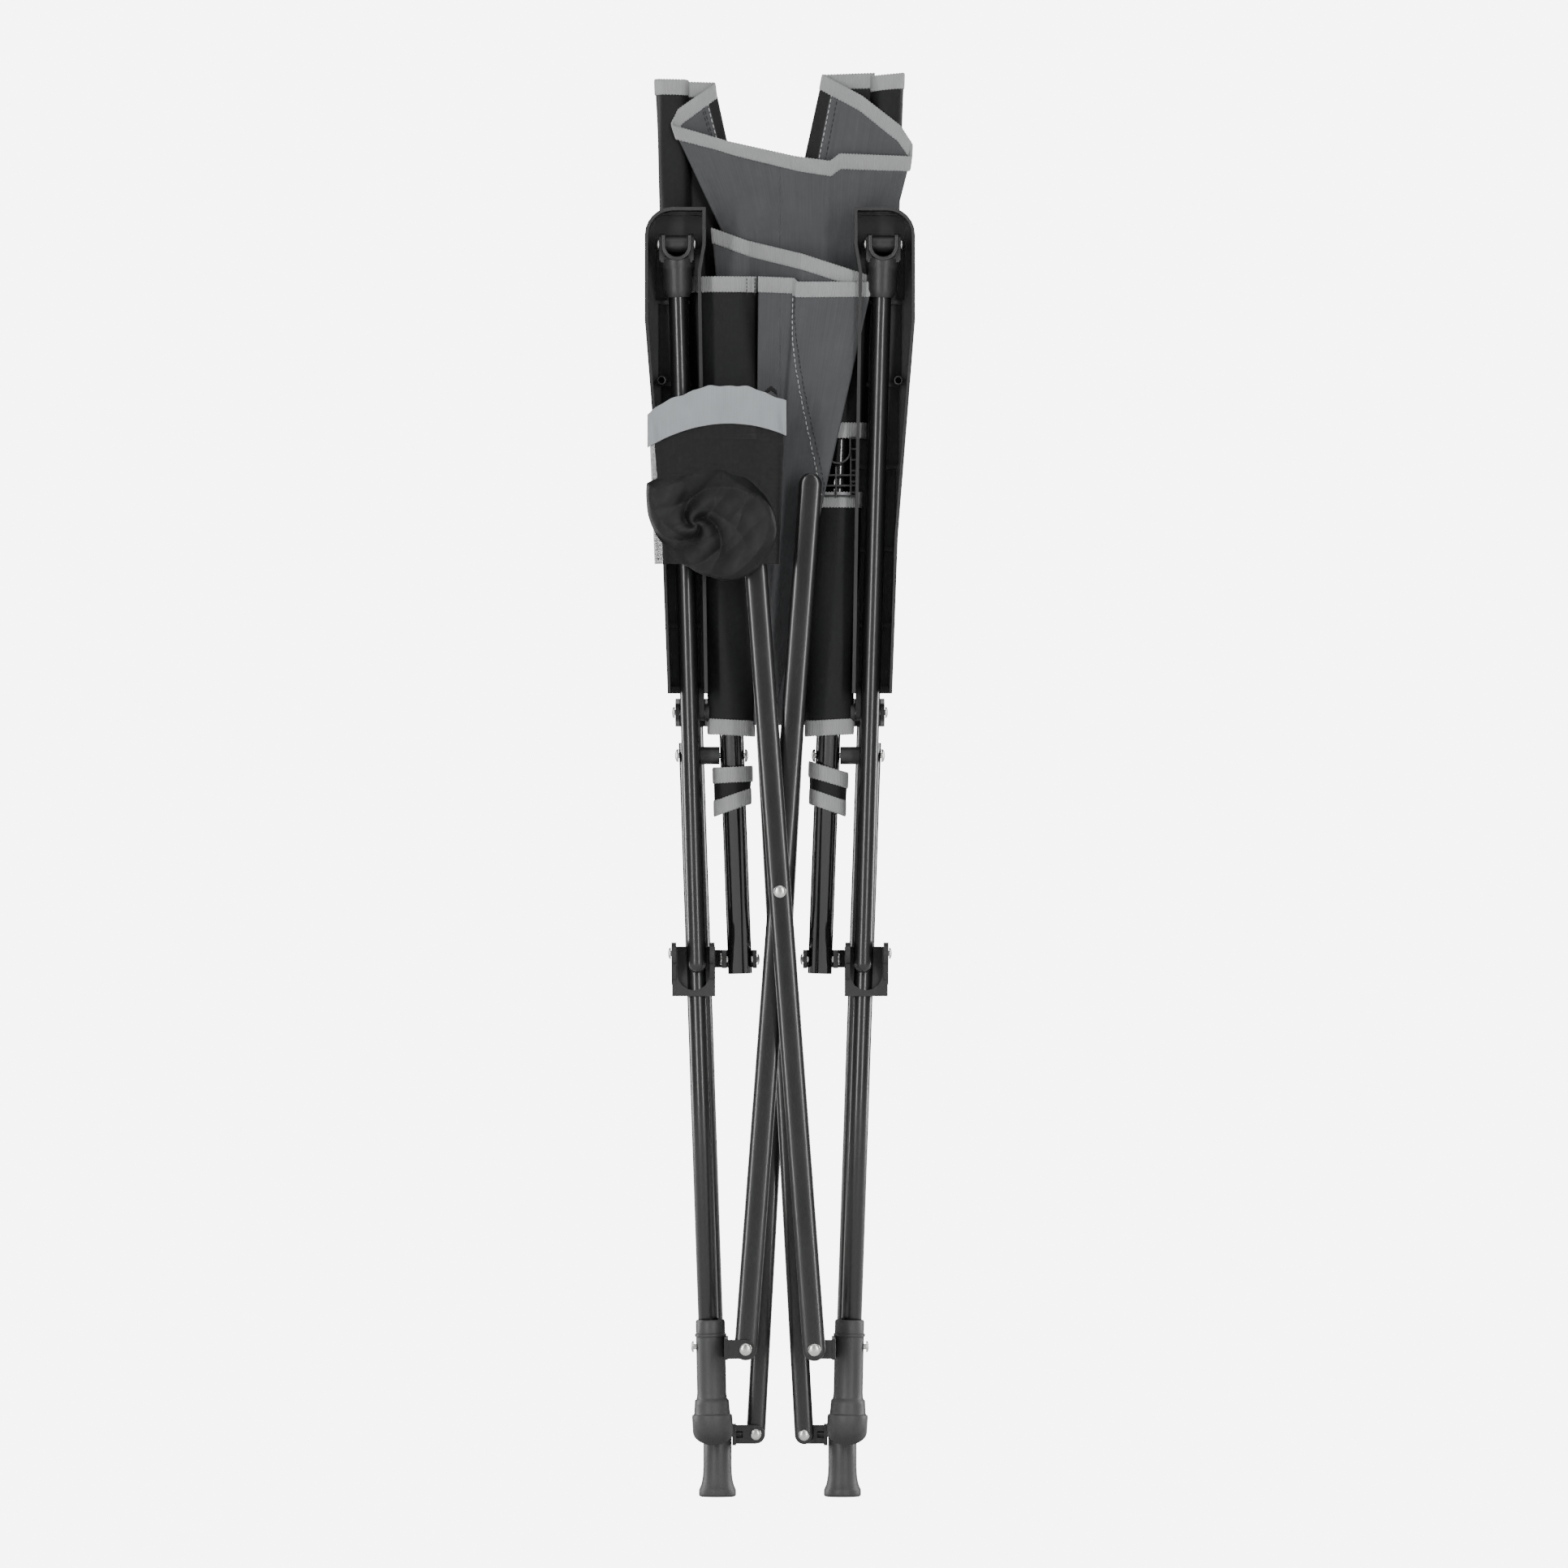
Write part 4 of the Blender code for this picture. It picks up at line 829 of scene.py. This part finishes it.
# ---------------------------------------------------------------- sleeves of the back
# Black pockets sewn to the edges of the back and slid down over the posts, with the edge tape carried round their
# mouths.
SLEEVE_TAPE_HALF = 0.0011
POST_FOOT_X = 0.0485
POST_LEAN = 0.0334


def cloth_sleeve(name, centre, half_x, half_y, low_z, high_z, tilt=(0.0, 0.0), crush=0.0004, seed=1):
    """A loose sleeve round a tube: |x/half_x|^2.3 + |y/half_y|^2.3 = 1 about the centre line, its ends tilted by
    tilt, with crush x three slow waves round it. centre, half_x and half_y are functions of height."""
    draw = np.random.default_rng(seed)
    fall = np.linspace(0, 1, 60)[:, None]
    angle = np.linspace(0, 2 * np.pi, 97)[None]
    z = high_z + (low_z - high_z) * fall
    c, s = np.cos(angle), np.sin(angle)
    power = 2 / 2.3
    waves = sum(np.sin(n * angle + draw.uniform(0, 6.3) + draw.uniform(-60, 60) * z) for n in (2, 3, 5))
    wide = half_x(z) + crush * waves
    deep = half_y + 0.5 * crush * waves
    x, y = centre(z)
    offset = np.sign(c) * np.abs(c) ** power * wide
    slope = tilt[1] + (tilt[0] - tilt[1]) * fall
    points = np.stack(np.broadcast_arrays(x + offset, y + np.sign(s) * np.abs(s) ** power * deep,
                                          z + slope * offset), axis=-1)
    points[:, -1] = points[:, 0]
    uv = np.stack(np.broadcast_arrays(angle * half_x(z).mean(), -z), axis=-1)
    return points, uv


def sleeve_with_tapes(name, grid, body, tape_ends, width=TAPE_WIDTH):
    """The sleeve's cloth, and a tape folded over each named end."""
    points, uv = grid
    made = surface(name, points, uv, closed=False)
    thickened(made, CLOTH_THICKNESS)
    made.data.materials.append(black_cloth)
    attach(made, body)
    for end in tape_ends:
        row, inner = (0, 6) if end == "top" else (-1, -7)
        edge = resampled(points[row])
        way = unit(points[inner] - points[row]).mean(axis=0)
        way = np.broadcast_to(way, edge.shape)
        band = bound_edge(f"{name}_{end}_tape", edge, way, width, SLEEVE_TAPE_HALF, closed=True)
        band.data.materials.append(tape)
        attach(band, body)
    return made


for word, side in SIDES.items():
    mouth = (0.10, 0.0) if side > 0 else (-0.02, 0.0)
    grid = cloth_sleeve(f"{word}_back_sleeve", lambda z: (side * (POST_FOOT_X + POST_LEAN * z), POST_Y),
                        lambda z: 0.0122 + 0 * z, 0.0108, BACK_LOW, 1.1235 + 0.002 * side,
                        tilt=(mouth[1], mouth[0]), seed=5 + side)
    sleeve_with_tapes(f"{word}_back_sleeve", grid, f"{word}_post", ["top", "bottom"])

# ---------------------------------------------------------------- seat fabric
# The same grey cloth between the seat rails. With the chair folded its front edge is uppermost, and the slack
# makes one wide fold towards the right rail and one behind the left.
SEAT_LOW = 0.611
SEAT_TOP_ROW = [(-0.0170, 0.0090, 0.9640), (0.0110, 0.0010, 0.9625), (0.0135, -0.0025, 0.9594)]
SEAT_TOP_ROW += [(0.0730, -0.0045, 0.9594), (0.0730, -0.0010, 0.9635), (0.0180, 0.0030, 0.9815)]
SEAT_TOP_ROW += [(-0.0250, 0.0293, 0.9930), (-0.0540, 0.0293, 1.0035)]
SEAT_TOP_ROW += [(-0.0540, 0.0310, 1.0030), (0.0420, 0.0300, 0.9680)]
SEAT_LOW_ROW = [(-0.0205, 0.0110, SEAT_LOW), (-0.0170, 0.0060, SEAT_LOW), (-0.0150, 0.0045, SEAT_LOW)]
SEAT_LOW_ROW += [(-0.0064, 0.0040, SEAT_LOW), (-0.0064, 0.0075, SEAT_LOW), (-0.0080, 0.0110, SEAT_LOW)]
SEAT_LOW_ROW += [(-0.0120, 0.0200, SEAT_LOW), (-0.0180, 0.0270, SEAT_LOW)]
SEAT_LOW_ROW += [(-0.0180, 0.0288, SEAT_LOW), (0.0215, 0.0270, SEAT_LOW)]
points, uv = folded_cloth([SEAT_TOP_ROW, SEAT_LOW_ROW], across=360, down=110, softness=0.003)
points = creased(points, uv, 0.00018, seed=8)
seat_points, seat_uv = points, uv
seat_cloth = surface("seat_fabric_panel", points, uv, closed=False)
seat_cloth.data.materials.append(grey_cloth)
seat_halves = cloth_sides(seat_cloth)
for piece in seat_halves.values():
    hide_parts("seat_fabric")
edge = resampled(seat_points[0])
inward = spread_over(unit(seat_points[4] - seat_points[0]), len(edge))
seat_tape = bound_edge("seat_fabric_tape", edge, inward, TAPE_WIDTH, TAPE_HALF)
seat_tape.data.materials.append(tape)
seat_tapes = cloth_sides(seat_tape, thickness=0)

front_edge = np.linalg.norm(np.diff(np.array(SEAT_TOP_ROW)[:4], axis=0), axis=1).sum()
fall = np.linspace(0.035, 0.49, 80)
for name, shift, thread in (("seat_seam", 0.0, pale_thread), ("seat_inner_stitch", 0.09, black_thread)):
    share = np.clip(0.31 + 0.066 * fall + 2.64 * fall**2 + shift * (0.3 + fall), 0, 0.975)
    rows = (fall * (len(seat_points) - 1)).astype(int)
    line = np.array([[np.interp(f * front_edge, seat_uv[0, :, 0], seat_points[r, :, k]) for k in range(3)]
                     for f, r in zip(share, rows)])
    row = stitched(name, line + FRONT * 0.0005, FRONT)
    row.data.materials.append(thread)
    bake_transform(row)
for x in (-0.0262, -0.0198):
    path = [(x, 0.0040, 0.9635), (x, 0.0040, 0.9475)]
    bar = stitched(f"seat_thread_bar_{round(-1e4 * x)}", path, FRONT, 0.0024, 0.0004, 0.0004)
    bar.data.materials.append(black_thread)
    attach(bar, "left_rail")

# ---------------------------------------------------------------- sleeves of the seat
# Black pockets round the rails, in three lengths: they stop on each side of the clip and of the leg pivot, and
# every mouth is bound with the tape.
SEAT_TOP = 0.9640


def seat_sleeve_centre(side):
    return lambda z: (side * (0.0385 + 0.0070 * (z - SEAT_LOW) / (SEAT_TOP - SEAT_LOW)), RAIL_Y)


def seat_sleeve_half(z):
    return 0.0182 + 0.0088 * (z - SEAT_LOW) / (SEAT_TOP - SEAT_LOW)


for word, side in SIDES.items():
    lengths = [("upper", 0.8385, SEAT_TOP, (0.0, 0.0)), ("lower", 0.604, 0.794, (0.05 * side, 0.0))]
    lengths += [("foot", 0.545, 0.577, (-0.35 * side, -0.30 if side > 0 else 0.05))]
    for part, low_z, high_z, tilt in lengths:
        shrink = 0.0025 if part == "foot" else 0.0
        grid = cloth_sleeve(f"{word}_seat_{part}_sleeve", seat_sleeve_centre(side),
                            lambda z: seat_sleeve_half(z) - shrink, 0.0112, low_z, high_z, tilt, 0.0005,
                            seed=20 + 3 * side + len(part))
        sleeve_with_tapes(f"{word}_seat_{part}_sleeve", grid, f"{word}_rail", ["top", "bottom"])

# ---------------------------------------------------------------- cup holder
# A cup bag folded flat and hung from the left arm support: a hoop of pale satin sewn to a black net, and a black
# cloth pouch gathered up under it.
CUP_LOW, CUP_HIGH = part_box("cup_holder_band")
CUP_CENTRE = ((CUP_LOW[0] + CUP_HIGH[0]) / 2, (CUP_LOW[1] + CUP_HIGH[1]) / 2)
CUP_HALF = (CUP_HIGH[0] - CUP_LOW[0]) / 2 - 0.0004
BAND_DEPTH = 0.0058


def band_top(x):
    return 0.877 - 5.8 * (x + 0.042) ** 2 + 0.0007 * np.sin(190 * x) + 0.0004 * np.sin(430 * x)


def band_bottom(x):
    return 0.847 - 4.6 * (x + 0.040) ** 2


def flattened_hoop(name, top, bottom, half_x, half_y, taper=0.0, crush=0.0005, seed=2, rows=40):
    """A hoop pressed flat: |x/half_x|^2.2 + |y/half_y|^2.2 = 1 about the bag's middle, its height running from
    top(x) to bottom(x), narrower downwards by taper, with crush x four waves."""
    draw = np.random.default_rng(seed)
    angle = np.linspace(0, 2 * np.pi, 193)[None]
    fall = np.linspace(0, 1, rows)[:, None]
    c, s = np.cos(angle), np.sin(angle)
    x = CUP_CENTRE[0] + np.sign(c) * np.abs(c) ** (2 / 2.2) * half_x * (1 - taper * fall)
    waves = sum(np.sin(n * angle + draw.uniform(0, 6.3) + 3 * fall * draw.uniform(-1, 1)) for n in (3, 5, 8, 13))
    y = CUP_CENTRE[1] + np.sign(s) * np.abs(s) ** (2 / 2.2) * half_y + crush * waves * (0.3 + fall)
    z = top(x) + (bottom(x) - top(x)) * fall
    points = np.stack(np.broadcast_arrays(x, y, z), axis=-1).copy()
    points[:, -1] = points[:, 0]
    uv = np.stack(np.broadcast_arrays(x * 2 + 0 * z, z + 0 * x), axis=-1)
    return surface(name, points, uv, closed=False)


satin = cloth_finish("pale_satin", (0.285, 0.305, 0.320, 1), 0.42, 0.1, relief=0.00004, threads=2600.0)
band = flattened_hoop("cup_holder_satin_band", band_top, band_bottom, CUP_HALF, BAND_DEPTH, crush=0.0005)
thickened(band, 0.0009)
stands_for(band, "cup_holder_band", satin)


def net_finish():
    """Black net: round holes on a fine grid, cut by the alpha, which leave most of it."""
    made = cloth_finish("black_net", (0.009, 0.009, 0.009, 1), 0.55, 0.02)
    tree = made.node_tree
    shader = tree.nodes["Principled BSDF"]
    place = tree.nodes["UV Map"]
    cells = tree.nodes.new("ShaderNodeTexVoronoi")
    cells.inputs["Scale"].default_value = 1300.0
    cells.inputs["Randomness"].default_value = 0.0
    tree.links.new(place.outputs["UV"], cells.inputs["Vector"])
    hole = tree.nodes.new("ShaderNodeMath")
    hole.operation = "GREATER_THAN"
    hole.inputs[1].default_value = 0.20
    tree.links.new(cells.outputs["Distance"], hole.inputs[0])
    tree.links.new(hole.outputs["Value"], shader.inputs["Alpha"])
    return made


net = net_finish()
net_bag = flattened_hoop("cup_holder_net", lambda x: band_bottom(x) + 0.003, lambda x: 0.737 + 0 * x,
                         CUP_HALF - 0.0015, BAND_DEPTH - 0.0020, taper=0.07, crush=0.0005, seed=4, rows=80)
stands_for(net_bag, "cup_holder_bag", net)


# The pouch's outline about its middle, as turn in degrees and reach in millimetres.
POUCH_OUTLINE = [(0, 51.4), (44, 50.0), (81, 50.5), (119, 50.0), (144, 63.0), (156, 56.0), (180, 45.4), (196, 39.5)]
POUCH_OUTLINE += [(239, 34.0), (268, 36.5), (286, 41.3), (312, 45.7), (333, 48.9), (346, 51.0), (360, 51.4)]


def gathered_pouch(name):
    """Cloth bunched into a flat bundle. A point at share r of the outline sits at r x outline(a) from the middle
    and bulges by depth x sqrt(1 - r^2.6). Three creases wind out from one point, as 1 - |sin(1.5 a + 2.4 log r)|,
    and slanted ones cross them as 1 - |sin|."""
    turn, reach = np.array(POUCH_OUTLINE, float).T
    angle = np.linspace(0, 2 * np.pi, 301)[None]
    outline = np.interp(angle, np.radians(turn), reach / 1000)
    share = np.sin(np.linspace(0, np.pi / 2, 110))[:, None]
    x = -0.0535 + share * outline * np.cos(angle)
    z = 0.7635 + share * outline * np.sin(angle)
    bulge = 0.0060 * np.sqrt(np.maximum(0, 1 - share**2.6)) + 0 * angle
    around, away = np.arctan2(z - 0.768, x + 0.066), np.hypot(x + 0.066, z - 0.768)
    wound = np.abs(np.sin(1.5 * around + 2.4 * np.log(away / 0.02 + 0.25)))
    folds = 0.0060 * (1 - wound) ** 1.3 * np.clip(away / 0.010, 0, 1)
    slanted = (0.7, 0.031, 0.0024, 0.4), (-0.6, 0.024, 0.0018, 1.1), (2.1, 0.017, 0.0012, 2.0)
    for slant, length, height, phase in slanted:
        across = z * np.cos(slant) - x * np.sin(slant)
        along = x * np.cos(slant) + z * np.sin(slant) + 0.005 * np.sin(70 * across)
        folds += height * (1 - np.abs(np.sin(np.pi * along / length + phase)))
    rim = np.sqrt(np.maximum(0, 1 - share**4))
    front = -0.0500 - bulge - folds * rim
    back = np.full_like(front, -0.0440) - 0.003 * (1 - rim)
    points = np.concatenate([np.stack([x, front, z], -1), np.stack([x, back, z], -1)[::-1]])
    uv = points[..., [0, 2]]
    return surface(name, points, uv)


pouch_cloth = cloth_finish("black_pouch_cloth", (0.0045, 0.0045, 0.0048, 1), 0.46, 0.01, threads=2200.0)
pouch_cloth.node_tree.nodes["Principled BSDF"].inputs["Specular IOR Level"].default_value = 0.30
pouch = gathered_pouch("cup_holder_pouch")
pouch.data.materials.append(pouch_cloth)
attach(pouch, "cup_holder")

# A short black loop of webbing that stands up behind the band.
loop = [(-0.0125, -0.0425, 0.862), (-0.0115, -0.0425, 0.8725), (-0.0070, -0.0425, 0.8760)]
loop += [(-0.0025, -0.0425, 0.8725), (-0.0015, -0.0425, 0.862)]
tab = bound_edge("cup_holder_tab", resampled(loop), np.array([(0, 0, -1.0)]), 0.004, 0.0011)
tab.data.materials.append(black_cloth)
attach(tab, "cup_holder")


# ---------------------------------------------------------------- floor, light and camera
# A plain floor and a plain surround, both near white to the camera, two tall lamps in front whose reflections run
# down the tubes as thin bright lines, two behind that draw the edges, and a wide soft lamp above.
CAMERA_DISTANCE = 9.0
VIEW_WIDTH = 1.2365
VIEW_CENTRE = (0.0032, 0.5645)
SEEN_BRIGHTNESS = 7.0
SURROUND_LIGHT = 0.22


def seen_white(tree, plain, output):
    """Shows the camera an even near-white, and lets the plain shader work for all the other light."""
    kind = "ShaderNodeEmission" if plain.bl_idname != "ShaderNodeBackground" else "ShaderNodeBackground"
    seen = tree.nodes.new(kind)
    seen.inputs["Strength"].default_value = SEEN_BRIGHTNESS
    seen.inputs["Color"].default_value = (1, 1, 1, 1)
    path = tree.nodes.new("ShaderNodeLightPath")
    choice = tree.nodes.new("ShaderNodeMixShader")
    tree.links.new(path.outputs["Is Camera Ray"], choice.inputs["Fac"])
    tree.links.new(plain.outputs[0], choice.inputs[1])
    tree.links.new(seen.outputs[0], choice.inputs[2])
    tree.links.new(choice.outputs["Shader"], output.inputs["Surface"])


floor_material = bpy.data.materials.new("pale_floor")
floor_material.use_nodes = True
tree = floor_material.node_tree
tree.nodes["Principled BSDF"].inputs["Base Color"].default_value = (0.86, 0.86, 0.86, 1)
tree.nodes["Principled BSDF"].inputs["Roughness"].default_value = 0.8
seen_white(tree, tree.nodes["Principled BSDF"], tree.nodes["Material Output"])
bpy.ops.mesh.primitive_circle_add(vertices=96, radius=60, fill_type="NGON", location=(0, 0, 0))
floor = bpy.context.object
floor.name = "pale_floor"
floor.data.materials.append(floor_material)


def lamp(name, place, target, size, power):
    data = bpy.data.lights.new(name, "AREA")
    data.shape = "RECTANGLE"
    data.size, data.size_y = size
    data.energy = power
    made = bpy.data.objects.new(name, data)
    made.location = place
    made.rotation_euler = Vector(np.array(target) - np.array(place)).to_track_quat("-Z", "Y").to_euler()
    bpy.context.scene.collection.objects.link(made)


MIDDLE = (0, 0, 0.6)
lamp("front_left", (-1.7, -3.0, 1.0), MIDDLE, (0.34, 3.0), 75)
lamp("front_right", (1.5, -3.1, 1.0), MIDDLE, (0.28, 3.0), 62)
lamp("rim_left", (-2.4, 0.9, 0.9), MIDDLE, (0.5, 2.6), 70)
lamp("rim_right", (2.4, 0.9, 0.9), MIDDLE, (0.5, 2.6), 70)
lamp("overhead", (0.3, -1.4, 3.4), MIDDLE, (2.6, 2.0), 26)
lamp("back_fill", (0.0, 3.2, 2.4), MIDDLE, (2.4, 2.0), 30)
world = bpy.data.worlds.new("pale_studio")
world.use_nodes = True
tree = world.node_tree
tree.nodes["Background"].inputs["Color"].default_value = (1, 1, 1, 1)
tree.nodes["Background"].inputs["Strength"].default_value = SURROUND_LIGHT
seen_white(tree, tree.nodes["Background"], tree.nodes["World Output"])
bpy.context.scene.world = world

camera_data = bpy.data.cameras.new("camera")
camera_data.sensor_width = 36
camera_data.lens = 36 * CAMERA_DISTANCE / VIEW_WIDTH
camera_data.clip_end = 200
camera = bpy.data.objects.new("camera", camera_data)
camera.location = (VIEW_CENTRE[0], -CAMERA_DISTANCE, VIEW_CENTRE[1])
camera.rotation_euler = (np.pi / 2, 0, 0)
bpy.context.scene.collection.objects.link(camera)
bpy.context.scene.camera = camera
